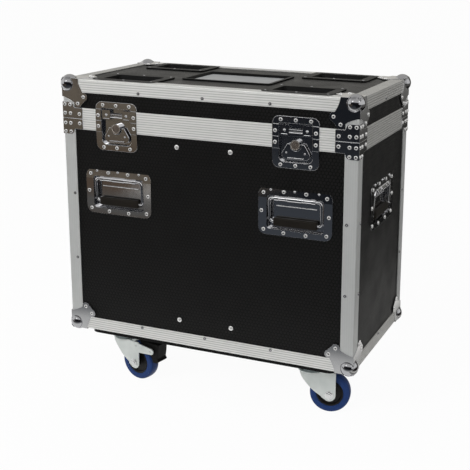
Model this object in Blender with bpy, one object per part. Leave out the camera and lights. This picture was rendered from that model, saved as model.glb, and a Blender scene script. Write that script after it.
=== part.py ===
"""Lighting flight case: a laminated plywood trunk on four castors with a lift-off lid.

Metres, +Z up. The origin is on the ground under the middle of the case and the front faces -Y.
"""
import math

import bmesh
import bpy
from mathutils import Matrix, Vector

# Case box, over the faces of the aluminium extrusions
CASE_WIDTH = 0.764
CASE_DEPTH = 0.402
CASE_HEIGHT = 0.645
LID_HEIGHT = 0.097
CLEARANCE = 0.0003
OVERRUN = 0.004
MERGE_DISTANCE = 0.000001

# Boards and extrusions
PANEL_THICKNESS = 0.009
FLANGE_WIDTH = 0.032
FLANGE_THICKNESS = 0.0018
CLOSURE_HEIGHT = 0.0265
BASE_CAP = 0.003
LID_CAP = 0.0065
INNER_LEG = 0.016
INNER_THICKNESS = 0.0015
TONGUE_START = 0.0045
TONGUE_WIDTH = 0.004
TONGUE_HEIGHT = 0.004
BRACE_THICKNESS = 0.0015
BRACE_REACH = 0.055
BRACE_NARROW = 0.030
BRACE_HEIGHT = 0.040
BRACE_GRIP = 0.001

# Dividers of the accessory bay and their screws
DIVIDER_OFFSET = 0.070
DIVIDER_DROP = 0.030
SCREW_RADIUS = 0.0025
SCREW_HEAD_RADIUS = 0.0055
SCREW_HEAD_HEIGHT = 0.0022
LOW_SCREW_RISE = 0.064
HIGH_SCREW_DROP = 0.049

# Ball corners
BALL_RADIUS = 0.0223
BALL_INSET = 0.0125
PAD_THICKNESS = 0.0014
PAD_NECK = 0.044
PAD_FAR = 0.0595
PAD_NEAR = 0.0428
PAD_LOBE = 0.0103
PAD_TIP_CUT = 0.006
LOBE_START = -100.0
LOBE_END = 70.0

# Butterfly latches
LATCH_FROM_END = 0.149
LATCH_WIDTH = 0.114
LATCH_PLATE = 0.0014
DISH_HEIGHT = 0.073
DISH_CORNER = 0.016
KEEPER_HEIGHT = 0.047
TRAY_WIDTH = 0.081
TRAY_DEPTH = 0.0085
TRAY_WALL = 0.0012
TRAY_LOW = 0.058
TRAY_HIGH = 0.031
TRAY_CORNER = 0.012
BUMP_START = 0.0165
BUMP_LOW = 0.004
BUMP_HIGH = 0.027
BUMP_DEPTH = 0.0007
HOOK_LOW = 0.014
HOOK_HIGH = 0.018
HOOK_FRONT = 0.002
HOOK_BACK = 0.005
SPINDLE_RADIUS = 0.0125
SPINDLE_DROP = 0.0177
SPINDLE_PROUD = 0.0025
FLAP_THICKNESS = 0.0025
FLAP_DEPTH = 0.002
FLAP_BOTTOM = 0.0525
FLAP_HALF = 0.034
FLAP_SHOULDER = 0.0205
FLAP_EAR = 0.002
FLAP_NOTCH = 0.013
FLAP_NOTCH_ROOT = 0.0141
FLAP_CORNER = 0.012
FLAP_WIDEST = 0.020

# Recessed sprung handles
HANDLE_FROM_END = 0.149
HANDLE_BELOW_SEAM = 0.178
HANDLE_WIDTH = 0.182
HANDLE_HEIGHT = 0.1125
HANDLE_CORNER = 0.018
HANDLE_PLATE = 0.0012
HOLLOW_WIDTH = 0.141
HOLLOW_TOP_BORDER = 0.018
HOLLOW_BOTTOM_BORDER = 0.014
HOLLOW_DEPTH = 0.0128
HOLLOW_CORNER = 0.008
RIDGE_WIDTH = 0.100
RIDGE_HEIGHT = 0.003
RIDGE_PROUD = 0.0012
RIDGE_DROP = 0.045
HINGE_DROP = 0.024
HINGE_DEPTH = 0.002
BARREL_RADIUS = 0.0055
BARREL_BORE = 0.0044
BARREL_LENGTH = 0.100
WIRE_RADIUS = 0.0036
BAIL_HALF = 0.064
BAIL_GAP = 0.0075
BAIL_BEND = 0.008
GRIP_LENGTH = 0.109
GRIP_HEIGHT = 0.020
GRIP_THICKNESS = 0.013
GRIP_DEPTH = 0.0058
GRIP_ROUND = 0.004

# Castor cups and label dish in the lid
CUP_FROM_END = 0.158
CUP_FROM_SIDE = 0.073
CUP_LENGTH = 0.172
CUP_WIDTH = 0.118
CUP_BORDER = 0.021
CUP_DEPTH = 0.014
DISH_DRAFT = 0.005
DISH_WALL = 0.0012
DISH_ROUND = 0.012
LABEL_GAP = 0.018
LABEL_WIDTH = 0.164
LABEL_BORDER = 0.008
LABEL_DEPTH = 0.007
LABEL_PLATE = 0.0008

# Castors
CASTOR_HEIGHT = 0.125
CASTOR_FROM_END = 0.1235
CASTOR_FROM_SIDE = 0.064
BOARD_THICKNESS = 0.012
BOARD_END_INSET = 0.048
BOARD_SIDE_INSET = 0.010
BOARD_CORNER = 0.020
PLATE_LENGTH = 0.105
PLATE_WIDTH = 0.085
PLATE_THICKNESS = 0.003
BEARING_RADIUS = 0.028
BEARING_HEIGHT = 0.013
CROWN_RADIUS = 0.034
CROWN_THICKNESS = 0.003
CROWN_GAP = 0.0005
ROOF_REACH = 0.030
TRAIL = 0.046
WHEEL_RADIUS = 0.050
WHEEL_WIDTH = 0.032
TREAD_WIDTH = 0.020
TREAD_SHOULDER = 0.004
RIM_RADIUS = 0.034
RIM_STEP = 0.006
HUB_RADIUS = 0.012
HUB_WIDTH = 0.037
AXLE_RADIUS = 0.005
AXLE_CLEARANCE = 0.0006
AXLE_HEAD = 0.002
LEG_GAP = 0.039
LEG_THICKNESS = 0.003
LEG_TIP = 0.0155
LEG_TIP_START = -124.0
LEG_BACK = 0.027
ARM_WIDTH = 0.016
ARM_ROOT_WIDTH = 0.030
ARM_ROOT = 0.012
PEDAL_WIDTH = 0.034
PEDAL_CLEARANCE = 0.006
PEDAL_PIN = 0.003

# Shares of the wheel radius, from the axle: the leg's bowed back, the pedal's outer
# outline and its pin
LEG_BOW_SHARES = ((-1.41, 0.92), (-1.17, 0.56), (-0.88, 0.24), (-0.56, 0.00))
PEDAL_SHARES = ((1.35, 0.21), (1.51, 0.34), (1.42, 0.46), (1.48, 0.80), (1.51, 1.24), (0.26, 1.24))
PEDAL_PIN_SHARES = (1.14, 0.86)
PEDAL_ARC = (76.0, 10.0)

# Which way each castor trails, in degrees from +X
SWIVELS = {"front_left": -12.0, "front_right": 12.0, "rear_left": 8.0, "rear_right": 172.0}
BRAKED = ("front_left", "rear_right")

# Derived levels and offsets from the case faces
HALF_WIDTH = CASE_WIDTH / 2
HALF_DEPTH = CASE_DEPTH / 2
CASE_BOTTOM = CASTOR_HEIGHT + BOARD_THICKNESS + CLEARANCE
CASE_TOP = CASE_BOTTOM + CASE_HEIGHT
SEAM = CASE_TOP - LID_HEIGHT
PANEL_FACE = FLANGE_THICKNESS + CLEARANCE
PANEL_BACK = PANEL_FACE + PANEL_THICKNESS
CAP_EDGE = PANEL_BACK + CLEARANCE + INNER_THICKNESS
PLATE_BED = PANEL_FACE - CLEARANCE
LATCH_OFFSET = HALF_WIDTH - LATCH_FROM_END
HANDLE_OFFSET = HALF_WIDTH - HANDLE_FROM_END
HANDLE_LEVEL = SEAM - HANDLE_BELOW_SEAM
CUP_OFFSET_X = HALF_WIDTH - CUP_FROM_END
CUP_OFFSET_Y = HALF_DEPTH - CUP_FROM_SIDE
CASTOR_OFFSET_X = HALF_WIDTH - CASTOR_FROM_END
CASTOR_OFFSET_Y = HALF_DEPTH - CASTOR_FROM_SIDE
LABEL_LENGTH = 2 * (CUP_OFFSET_X - CUP_LENGTH / 2 - LABEL_GAP)
SCREW_LEVELS = (CASE_BOTTOM + LOW_SCREW_RISE, SEAM - HIGH_SCREW_DROP)
TRAY_HALF = TRAY_WIDTH / 2
TRAY_BACK = TRAY_DEPTH + TRAY_WALL
LATCH_HALF = LATCH_WIDTH / 2
HOLLOW_HALF = HOLLOW_WIDTH / 2
HOLLOW_TOP = HANDLE_HEIGHT / 2 - HOLLOW_TOP_BORDER
HOLLOW_BOTTOM = HOLLOW_BOTTOM_BORDER - HANDLE_HEIGHT / 2
HINGE_LEVEL = HANDLE_HEIGHT / 2 - HINGE_DROP
BAIL_DROP = HINGE_LEVEL - HOLLOW_BOTTOM - GRIP_HEIGHT / 2 - BAIL_GAP
PAD_REACH = PAD_FAR + PAD_LOBE
AXLE_LEVEL = WHEEL_RADIUS
CROWN_TOP = CASTOR_HEIGHT - PLATE_THICKNESS - BEARING_HEIGHT - CROWN_GAP
LID_TOP_PANEL = CASE_TOP - PANEL_FACE

FRONT_AND_REAR = (("front", 0.0), ("rear", 180.0))
SIDES = (("left", -1), ("right", 1))


# Meshes

def finish(mesh_data):
    """Weld, drop slivers and turn every face outwards."""
    work = bmesh.new()
    work.from_mesh(mesh_data)
    bmesh.ops.remove_doubles(work, verts=work.verts, dist=MERGE_DISTANCE)
    bmesh.ops.dissolve_degenerate(work, dist=MERGE_DISTANCE, edges=work.edges)
    bmesh.ops.recalc_face_normals(work, faces=work.faces)
    work.to_mesh(mesh_data)
    work.free()
    return mesh_data


def mesh_from(vertices, faces):
    mesh = bpy.data.meshes.new("shape")
    mesh.from_pydata([tuple(vertex) for vertex in vertices], [], faces)
    return finish(mesh)


def box(x, y, z):
    """A block between the two values given for each axis."""
    corners = [(i, j, k) for k in z for j in y for i in x]
    faces = [(0, 2, 3, 1), (4, 5, 7, 6), (0, 1, 5, 4), (2, 6, 7, 3), (0, 4, 6, 2), (1, 3, 7, 5)]
    return mesh_from(corners, faces)


def prism(outline, along, low, high):
    """An outline drawn in the plane across one axis and stretched along that axis."""
    places = {
        "X": lambda a, b, c: (c, a, b),
        "Y": lambda a, b, c: (a, c, b),
        "Z": lambda a, b, c: (a, b, c),
    }
    place = places[along]
    count = len(outline)
    vertices = [place(a, b, level) for level in (low, high) for a, b in outline]
    faces = [tuple(range(count)), tuple(range(count, 2 * count))]
    faces += [(i, (i + 1) % count, count + (i + 1) % count, count + i) for i in range(count)]
    return mesh_from(vertices, faces)


def arc(centre, radius, start, end, steps):
    """Points on a circular arc, with angles in degrees."""
    points = []
    for step in range(steps + 1):
        angle = math.radians(start + (end - start) * step / steps)
        points.append((centre[0] + radius * math.cos(angle), centre[1] + radius * math.sin(angle)))
    return points


def rounded(x, z, radii, steps=4):
    """A rectangle with its own radius at the low left, low right, high right and high left."""
    turns = (180.0, 270.0, 0.0, 90.0)
    corners = ((x[0], z[0], 1, 1), (x[1], z[0], -1, 1), (x[1], z[1], -1, -1), (x[0], z[1], 1, -1))
    points = []
    for (a, b, inward_a, inward_b), radius, turn in zip(corners, radii, turns):
        if radius == 0:
            points.append((a, b))
        else:
            centre = (a + inward_a * radius, b + inward_b * radius)
            points += arc(centre, radius, turn, turn + 90.0, steps)
    return points


def circle(radius, segments, centre=(0.0, 0.0)):
    """A polygon with a flat side at the bottom."""
    half = 180.0 / segments
    return arc(centre, radius, half, 360.0 - half, segments - 1)


def lathe(profile, segments):
    """A closed profile of radius and height along Y, turned about the Y axis with a flat below."""
    count = len(profile)
    vertices = []
    for step in range(segments):
        angle = math.tau * (step + 1 / 2) / segments
        for radius, along in profile:
            reach = radius / math.cos(math.pi / segments)
            vertices.append((reach * math.sin(angle), along, reach * math.cos(angle)))
    faces = []
    for step in range(segments):
        here = step * count
        there = (step + 1) % segments * count
        for i in range(count):
            j = (i + 1) % count
            faces.append((here + i, here + j, there + j, there + i))
    return mesh_from(vertices, faces)


def ball(radius, segments, rings, centre):
    work = bmesh.new()
    bmesh.ops.create_uvsphere(work, u_segments=segments, v_segments=rings, radius=radius)
    bmesh.ops.translate(work, verts=work.verts, vec=centre)
    mesh = bpy.data.meshes.new("ball")
    work.to_mesh(mesh)
    work.free()
    return mesh


def taper(top, bottom, high, low, corner):
    """A tray shape that narrows from a rounded rectangle above to a smaller one below."""
    upper = rounded((-top[0], top[0]), (-top[1], top[1]), (corner,) * 4)
    lower = rounded((-bottom[0], bottom[0]), (-bottom[1], bottom[1]), (corner,) * 4)
    count = len(upper)
    vertices = [(a, b, high) for a, b in upper] + [(a, b, low) for a, b in lower]
    faces = [tuple(range(count)), tuple(range(count, 2 * count))]
    faces += [(i, (i + 1) % count, count + (i + 1) % count, count + i) for i in range(count)]
    return mesh_from(vertices, faces)


def ring(profile):
    """A profile of inset and height, carried round the case with mitred corners."""
    count = len(profile)
    turns = ((-1, -1), (1, -1), (1, 1), (-1, 1))
    vertices = []
    for side_x, side_y in turns:
        for inset, level in profile:
            vertices.append((side_x * (HALF_WIDTH - inset), side_y * (HALF_DEPTH - inset), level))
    faces = []
    for turn in range(len(turns)):
        here = turn * count
        there = (turn + 1) % len(turns) * count
        for i in range(count):
            j = (i + 1) % count
            faces.append((here + i, here + j, there + j, there + i))
    return mesh_from(vertices, faces)


def moved(mesh, matrix):
    copy = mesh.copy()
    copy.transform(matrix)
    if matrix.determinant() < 0:
        copy.flip_normals()
    return copy


def combine(base, add=(), cut=()):
    """Join meshes to the base and then cut others out of it, with exact Booleans."""
    body = bpy.data.objects.new("work", base)
    bpy.context.collection.objects.link(body)
    helpers = []
    for operation, meshes in (("UNION", add), ("DIFFERENCE", cut)):
        for mesh in meshes:
            helper = bpy.data.objects.new("helper", mesh)
            bpy.context.collection.objects.link(helper)
            helper.hide_render = True
            helper.display_type = "WIRE"
            helpers.append(helper)
            modifier = body.modifiers.new(operation, "BOOLEAN")
            modifier.operation = operation
            modifier.solver = "EXACT"
            modifier.object = helper
    bpy.context.view_layer.update()
    evaluated = body.evaluated_get(bpy.context.evaluated_depsgraph_get())
    result = bpy.data.meshes.new_from_object(evaluated)
    for item in helpers + [body]:
        bpy.data.objects.remove(item)
    return finish(result)


def soften(mesh, angle=35.0):
    mesh.shade_smooth()
    mesh.set_sharp_from_angle(angle=math.radians(angle))
    return mesh


# Objects

MATERIALS = {
    "laminate": ((0.018, 0.017, 0.016), 0.55, 0.0),
    "plywood": ((0.42, 0.30, 0.18), 0.70, 0.0),
    "castor_board": ((0.012, 0.012, 0.012), 0.60, 0.0),
    "aluminium": ((0.62, 0.62, 0.61), 0.38, 1.0),
    "chrome": ((0.55, 0.56, 0.58), 0.12, 1.0),
    "zinc": ((0.62, 0.66, 0.67), 0.42, 1.0),
    "black_cup": ((0.015, 0.015, 0.016), 0.35, 0.0),
    "label": ((0.48, 0.50, 0.51), 0.45, 0.0),
    "tyre": ((0.010, 0.035, 0.160), 0.50, 0.0),
    "brake": ((0.012, 0.012, 0.012), 0.50, 0.0),
    "bail": ((0.50, 0.50, 0.52), 0.20, 1.0),
}


def material(name):
    if name in bpy.data.materials:
        return bpy.data.materials[name]
    colour, roughness, metallic = MATERIALS[name]
    made = bpy.data.materials.new(name)
    made.use_nodes = True
    shader = made.node_tree.nodes["Principled BSDF"]
    shader.inputs["Base Color"].default_value = (*colour, 1.0)
    shader.inputs["Roughness"].default_value = roughness
    shader.inputs["Metallic"].default_value = metallic
    return made


def place(name, mesh, slot, location=(0.0, 0.0, 0.0), turn=(0.0, 0.0, 0.0), parent=None):
    item = bpy.data.objects.new(name, mesh)
    bpy.context.collection.objects.link(item)
    if not mesh.materials:
        mesh.materials.append(material(slot))
    item.location = location
    item.rotation_euler = [math.radians(angle) for angle in turn]
    item.parent = parent
    return item


def on_face(turn, across, level):
    """Where the face turned by this angle carries a fitting, at a place across it and a level."""
    reach = HALF_WIDTH if turn in (90.0, -90.0) else HALF_DEPTH
    spot = Matrix.Rotation(math.radians(turn), 4, "Z") @ Vector((across, -reach, 0.0))
    return (spot.x, spot.y, level)


# Boards

def latch_places():
    for face, turn in FRONT_AND_REAR:
        for side, sign in SIDES:
            yield f"{face}_{side}", on_face(turn, sign * LATCH_OFFSET * (1 if turn == 0 else -1), SEAM), turn


def handle_places():
    for face, turn in FRONT_AND_REAR:
        for side, sign in SIDES:
            spot = on_face(turn, sign * HANDLE_OFFSET * (1 if turn == 0 else -1), HANDLE_LEVEL)
            yield f"{face}_{side}", spot, turn
    yield "left_end", on_face(-90.0, 0.0, HANDLE_LEVEL), -90.0
    yield "right_end", on_face(90.0, 0.0, HANDLE_LEVEL), 90.0


def placed(mesh, spot, turn):
    return moved(mesh, Matrix.Translation(spot) @ Matrix.Rotation(math.radians(turn), 4, "Z"))


def wall_ring(low, high):
    outer = box((PANEL_FACE - HALF_WIDTH, HALF_WIDTH - PANEL_FACE),
                (PANEL_FACE - HALF_DEPTH, HALF_DEPTH - PANEL_FACE), (low, high))
    inner = box((PANEL_BACK - HALF_WIDTH, HALF_WIDTH - PANEL_BACK),
                (PANEL_BACK - HALF_DEPTH, HALF_DEPTH - PANEL_BACK), (low - OVERRUN, high + OVERRUN))
    return outer, inner


def latch_opening(low, high, depth):
    """The cut that lets a latch tray through, in the latch's own frame."""
    half = TRAY_HALF + TRAY_WALL + CLEARANCE
    return box((-half, half), (-OVERRUN, depth), (low, high))


def handle_opening():
    edge = HANDLE_PLATE + CLEARANCE
    return box((-HOLLOW_HALF - edge, HOLLOW_HALF + edge), (-OVERRUN, PANEL_BACK + OVERRUN),
               (HOLLOW_BOTTOM - edge, HOLLOW_TOP + edge))


def screw_places():
    return [(sign * DIVIDER_OFFSET, level) for _, sign in SIDES for level in SCREW_LEVELS]


def build_boards():
    board_top = CASE_BOTTOM + PANEL_FACE + PANEL_THICKNESS
    low = board_top + CLEARANCE
    high = SEAM - BASE_CAP - CLEARANCE
    outer, inner = wall_ring(low, high)
    cuts = [inner]
    tray_bottom = -TRAY_LOW - TRAY_WALL - CLEARANCE
    latch_cut = latch_opening(tray_bottom, OVERRUN, PANEL_BACK + OVERRUN)
    cuts += [placed(latch_cut, spot, turn) for _, spot, turn in latch_places()]
    cuts += [placed(handle_opening(), spot, turn) for _, spot, turn in handle_places()]
    reach = HALF_DEPTH + OVERRUN
    for x, z in screw_places():
        hole = circle(SCREW_RADIUS + CLEARANCE, 8, (x, z))
        cuts.append(prism(hole, "Y", -reach, reach))
    place("base_walls", combine(outer, cut=cuts), "laminate")

    floor = box((PANEL_FACE - HALF_WIDTH, HALF_WIDTH - PANEL_FACE),
                (PANEL_FACE - HALF_DEPTH, HALF_DEPTH - PANEL_FACE), (CASE_BOTTOM + PANEL_FACE, board_top))
    place("floor_panel", floor, "laminate")

    low = SEAM + CLEARANCE + LID_CAP + CLEARANCE
    top_low = LID_TOP_PANEL - PANEL_THICKNESS
    outer, inner = wall_ring(low, top_low - CLEARANCE)
    latch_cut = latch_opening(0.0, TRAY_HIGH + TRAY_WALL + CLEARANCE, PANEL_BACK + OVERRUN)
    cuts = [inner] + [placed(latch_cut, spot, turn) for _, spot, turn in latch_places()]
    place("lid_walls", combine(outer, cut=cuts), "laminate")

    top = box((PANEL_FACE - HALF_WIDTH, HALF_WIDTH - PANEL_FACE),
              (PANEL_FACE - HALF_DEPTH, HALF_DEPTH - PANEL_FACE), (top_low, LID_TOP_PANEL))
    cuts = []
    for _, spot, turn in cup_places():
        cuts.append(placed(dish_hole(CUP_LENGTH, CUP_WIDTH, CUP_BORDER), spot, turn))
    cuts.append(placed(dish_hole(LABEL_LENGTH, LABEL_WIDTH, LABEL_BORDER), (0.0, 0.0, CASE_TOP), 0.0))
    place("lid_top_panel", combine(top, cut=cuts), "laminate")


def build_dividers():
    low = CASE_BOTTOM + PANEL_BACK + CLEARANCE
    high = SEAM - DIVIDER_DROP
    reach = HALF_DEPTH - PANEL_BACK - CLEARANCE
    head_bed = HALF_DEPTH - PANEL_FACE + CLEARANCE
    for side, sign in SIDES:
        middle = sign * DIVIDER_OFFSET
        board = box((middle - PANEL_THICKNESS / 2, middle + PANEL_THICKNESS / 2), (-reach, reach), (low, high))
        screws = []
        for level in SCREW_LEVELS:
            spot = (middle, level)
            screws.append(prism(circle(SCREW_RADIUS, 8, spot), "Y", -head_bed - CLEARANCE, head_bed + CLEARANCE))
            for end in (-1, 1):
                heights = sorted((end * head_bed, end * (head_bed + SCREW_HEAD_HEIGHT)))
                screws.append(prism(circle(SCREW_HEAD_RADIUS, 10, spot), "Y", *heights))
        place(f"divider_{side}", combine(board, add=screws), "plywood")


# Extrusions

def edge_cage(closed, opened, up):
    """Angle extrusions round one closed end and up the four corners to the open end."""
    low, high = min(closed, opened), max(closed, opened)
    shell = box((-HALF_WIDTH, HALF_WIDTH), (-HALF_DEPTH, HALF_DEPTH), (low, high))
    inside_width = HALF_WIDTH - FLANGE_THICKNESS
    inside_depth = HALF_DEPTH - FLANGE_THICKNESS
    wall_end = closed + up * FLANGE_THICKNESS
    window_end = closed + up * FLANGE_WIDTH
    past = opened + up * OVERRUN
    window_width = HALF_WIDTH - FLANGE_WIDTH
    window_depth = HALF_DEPTH - FLANGE_WIDTH
    outside_width = HALF_WIDTH + OVERRUN
    outside_depth = HALF_DEPTH + OVERRUN
    cuts = [
        box((-inside_width, inside_width), (-inside_depth, inside_depth), sorted((wall_end, past))),
        box((-window_width, window_width), (-outside_depth, outside_depth), sorted((window_end, past))),
        box((-outside_width, outside_width), (-window_depth, window_depth), sorted((window_end, past))),
        box((-window_width, window_width), (-window_depth, window_depth), (low - OVERRUN, high + OVERRUN)),
    ]
    return combine(shell, cut=cuts)


def brace(up):
    """One closure corner brace, wrapped round the corner at the low X and low Y side."""
    proud = -CLEARANCE - BRACE_THICKNESS
    band = sorted((SEAM if up < 0 else SEAM + CLEARANCE, SEAM + up * CLOSURE_HEIGHT))
    tall = sorted((SEAM if up < 0 else SEAM + CLEARANCE, SEAM + up * BRACE_HEIGHT))
    pieces = []
    for reach, depth, levels in ((BRACE_REACH, BRACE_GRIP, band), (BRACE_NARROW, -CLEARANCE, tall)):
        along_x = (proud - HALF_WIDTH, reach - HALF_WIDTH)
        along_y = (proud - HALF_DEPTH, reach - HALF_DEPTH)
        pieces.append(box(along_x, (proud - HALF_DEPTH, depth - HALF_DEPTH), levels))
        pieces.append(box((proud - HALF_WIDTH, depth - HALF_WIDTH), along_y, levels))
    return pieces


def four_corners(meshes):
    """Copies at the four upright corners, mirrored where the corner is mirrored."""
    copies = []
    for side_x in (1, -1):
        for side_y in (1, -1):
            flip = Matrix.Diagonal((side_x, side_y, 1, 1))
            copies += [moved(mesh, flip) for mesh in meshes]
    return copies


def closure_profile(up):
    """Outer leg, cap with its tongue or groove, and inner leg, as inset and level."""
    level = SEAM if up < 0 else SEAM + CLEARANCE
    if up < 0:
        start, end = TONGUE_START, TONGUE_START + TONGUE_WIDTH
        crest, cap = level + TONGUE_HEIGHT, BASE_CAP
    else:
        start, end = TONGUE_START - 2 * CLEARANCE, TONGUE_START + TONGUE_WIDTH + 2 * CLEARANCE
        crest, cap = level + TONGUE_HEIGHT + CLEARANCE, LID_CAP
    inner = CAP_EDGE - INNER_THICKNESS
    return [
        (0.0, level + up * CLOSURE_HEIGHT), (0.0, level),
        (start, level), (start, crest), (end, crest), (end, level),
        (CAP_EDGE, level), (CAP_EDGE, level + up * INNER_LEG),
        (inner, level + up * INNER_LEG), (inner, level + up * cap),
        (FLANGE_THICKNESS, level + up * cap), (FLANGE_THICKNESS, level + up * CLOSURE_HEIGHT),
    ]


def build_extrusions():
    base_end = SEAM - CLOSURE_HEIGHT - CLEARANCE
    lid_end = SEAM + CLEARANCE + CLOSURE_HEIGHT + CLEARANCE
    place("base_edge_frame", edge_cage(CASE_BOTTOM, base_end, 1), "aluminium")
    place("lid_edge_frame", edge_cage(CASE_TOP, lid_end, -1), "aluminium")
    far = CLOSURE_HEIGHT + TONGUE_HEIGHT + OVERRUN
    for name, up in (("base_closure_frame", -1), ("lid_closure_frame", 1)):
        notch = latch_opening(-far, far, TRAY_BACK + CLEARANCE)
        cuts = [placed(notch, spot, turn) for _, spot, turn in latch_places()]
        frame = combine(ring(closure_profile(up)), cut=cuts)
        place(name, combine(frame, add=four_corners(brace(up))), "aluminium")


# Ball corners

def pad_outline():
    """Neck at the case corner and two lobes, mirrored across the diagonal of the face.

    The very tip is cut off, so that it stays inside the ball.
    """
    start = math.radians(LOBE_START)
    neck_out = (PAD_FAR + PAD_LOBE * math.cos(start), PAD_NEAR + PAD_LOBE * math.sin(start))
    bow = ((PAD_NECK + neck_out[0]) / 2 - PAD_LOBE / 4, neck_out[1] / 2 + PAD_LOBE / 4)
    half = [(PAD_TIP_CUT, 0.0), (PAD_NECK, 0.0), bow]
    half += arc((PAD_FAR, PAD_NEAR), PAD_LOBE, LOBE_START, LOBE_END, 5)
    mirrored_half = [(b, a) for a, b in reversed(half)]
    return half + mirrored_half


def ball_corner():
    """The corner at low X, low Y and the top: inwards is +X, +Y and -Z."""
    outline = pad_outline()
    outer = -CLEARANCE - PAD_THICKNESS
    shifted = [(a if a > 0 else outer, b if b > 0 else outer) for a, b in outline]
    front = prism([(a, -b) for a, b in shifted], "Y", outer, PLATE_BED)
    side = prism([(a, -b) for a, b in shifted], "X", outer, PLATE_BED)
    top = prism(shifted, "Z", -PLATE_BED, -outer)
    inset = (BALL_INSET, BALL_INSET, -BALL_INSET)
    far = PAD_REACH + OVERRUN
    leg = FLANGE_WIDTH + CLEARANCE
    near = -CLEARANCE
    cuts = [
        box((near, far), (near, far), (-leg, CLEARANCE)),
        box((near, leg), (near, far), (-far, CLEARANCE)),
        box((near, far), (near, leg), (-far, CLEARANCE)),
    ]
    shape = combine(ball(BALL_RADIUS, 16, 9, inset), add=(front, side, top), cut=cuts)
    return soften(shape)


def build_ball_corners():
    mesh = ball_corner()
    spots = {
        0.0: ("front_left", -1, -1), 90.0: ("front_right", 1, -1),
        180.0: ("rear_right", 1, 1), 270.0: ("rear_left", -1, 1),
    }
    for turn, (name, side_x, side_y) in spots.items():
        spot = (side_x * HALF_WIDTH, side_y * HALF_DEPTH)
        place(f"lid_ball_{name}", mesh, "chrome", (*spot, CASE_TOP), (0.0, 0.0, turn))
        place(f"base_ball_{name}", mesh, "chrome", (*spot, CASE_BOTTOM), (180.0, 0.0, turn + 90.0))


# Latches, each in its own frame: X across, Y into the case, Z up from the seam

def flat_plate(outline, bed):
    return prism(outline, "Y", bed - LATCH_PLATE, bed)


def latch_dish():
    low = -CLOSURE_HEIGHT - CLEARANCE
    step = low - LATCH_PLATE
    upper = flat_plate(rounded((-LATCH_HALF, LATCH_HALF), (step, 0.0), (0, 0, 0, 0)), -CLEARANCE)
    riser = box((-LATCH_HALF, LATCH_HALF), (-CLEARANCE - LATCH_PLATE, PLATE_BED), (step, low))
    lower_radii = (DISH_CORNER, DISH_CORNER, 0, 0)
    lower = flat_plate(rounded((-LATCH_HALF, LATCH_HALF), (-DISH_HEIGHT, low), lower_radii), PLATE_BED)
    edge = TRAY_HALF + TRAY_WALL
    tray_corner = TRAY_CORNER + TRAY_WALL
    wall = rounded((-edge, edge), (-TRAY_LOW - TRAY_WALL, 0.0), (tray_corner, tray_corner, 0, 0))
    tray = prism(wall, "Y", PLATE_BED - LATCH_PLATE, TRAY_BACK)
    collar = box((-edge, edge), (-CLEARANCE - LATCH_PLATE, PLATE_BED), (step, 0.0))
    hollow_outline = rounded((-TRAY_HALF, TRAY_HALF), (-TRAY_LOW, OVERRUN), (TRAY_CORNER, TRAY_CORNER, 0, 0))
    hollow = prism(hollow_outline, "Y", -OVERRUN, TRAY_DEPTH)
    shell = combine(upper, add=(riser, lower, tray, collar), cut=(hollow,))
    spindle = prism(circle(SPINDLE_RADIUS, 20, (0.0, -SPINDLE_DROP)), "Y", -SPINDLE_PROUD,
                    TRAY_DEPTH + TRAY_WALL / 2)
    return soften(combine(shell, add=(spindle,)))


def latch_keeper():
    low = CLEARANCE
    high = CLEARANCE + CLOSURE_HEIGHT + CLEARANCE
    step = high + LATCH_PLATE
    lower = flat_plate(rounded((-LATCH_HALF, LATCH_HALF), (low, step), (0, 0, 0, 0)), -CLEARANCE)
    riser = box((-LATCH_HALF, LATCH_HALF), (-CLEARANCE - LATCH_PLATE, PLATE_BED), (high, step))
    upper_radii = (0, 0, DISH_CORNER, DISH_CORNER)
    upper = flat_plate(rounded((-LATCH_HALF, LATCH_HALF), (high, KEEPER_HEIGHT), upper_radii), PLATE_BED)
    edge = TRAY_HALF + TRAY_WALL
    tray = box((-edge, edge), (PLATE_BED - LATCH_PLATE, TRAY_BACK), (low, TRAY_HIGH + TRAY_WALL))
    collar = box((-edge, edge), (-CLEARANCE - LATCH_PLATE, PLATE_BED), (low, step))
    hollow = box((-TRAY_HALF, TRAY_HALF), (-OVERRUN, TRAY_DEPTH), (-OVERRUN, TRAY_HIGH))
    shell = combine(lower, add=(riser, upper, tray, collar), cut=(hollow,))
    fittings = [box((-TRAY_HALF, TRAY_HALF), (HOOK_FRONT, HOOK_BACK), (HOOK_LOW, HOOK_HIGH))]
    for _, sign in SIDES:
        across = sorted((sign * BUMP_START, sign * (TRAY_HALF + TRAY_WALL / 2)))
        fittings.append(box(across, (BUMP_DEPTH, TRAY_DEPTH + TRAY_WALL / 2), (BUMP_LOW, BUMP_HIGH)))
    return combine(shell, add=fittings)


def latch_flap():
    """The folding key, hung on the spindle, with its origin on the hinge line."""
    turn = math.degrees(math.acos(FLAP_NOTCH / FLAP_NOTCH_ROOT))
    bottom = SPINDLE_DROP - FLAP_BOTTOM
    side = [
        (FLAP_HALF, bottom + FLAP_CORNER), (FLAP_HALF, -FLAP_WIDEST), (FLAP_SHOULDER, FLAP_EAR),
    ]
    right = arc((FLAP_HALF - FLAP_CORNER, bottom + FLAP_CORNER), FLAP_CORNER, -90.0, 0.0, 4)[:-1]
    notch = arc((0.0, 0.0), FLAP_NOTCH_ROOT, -turn, turn - 180.0, 8)
    outline = right + side + [(FLAP_NOTCH, FLAP_EAR)] + notch + [(-FLAP_NOTCH, FLAP_EAR)]
    outline += [(-a, b) for a, b in reversed(right + side)]
    return prism(outline, "Y", -FLAP_THICKNESS / 2, FLAP_THICKNESS / 2)


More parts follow.
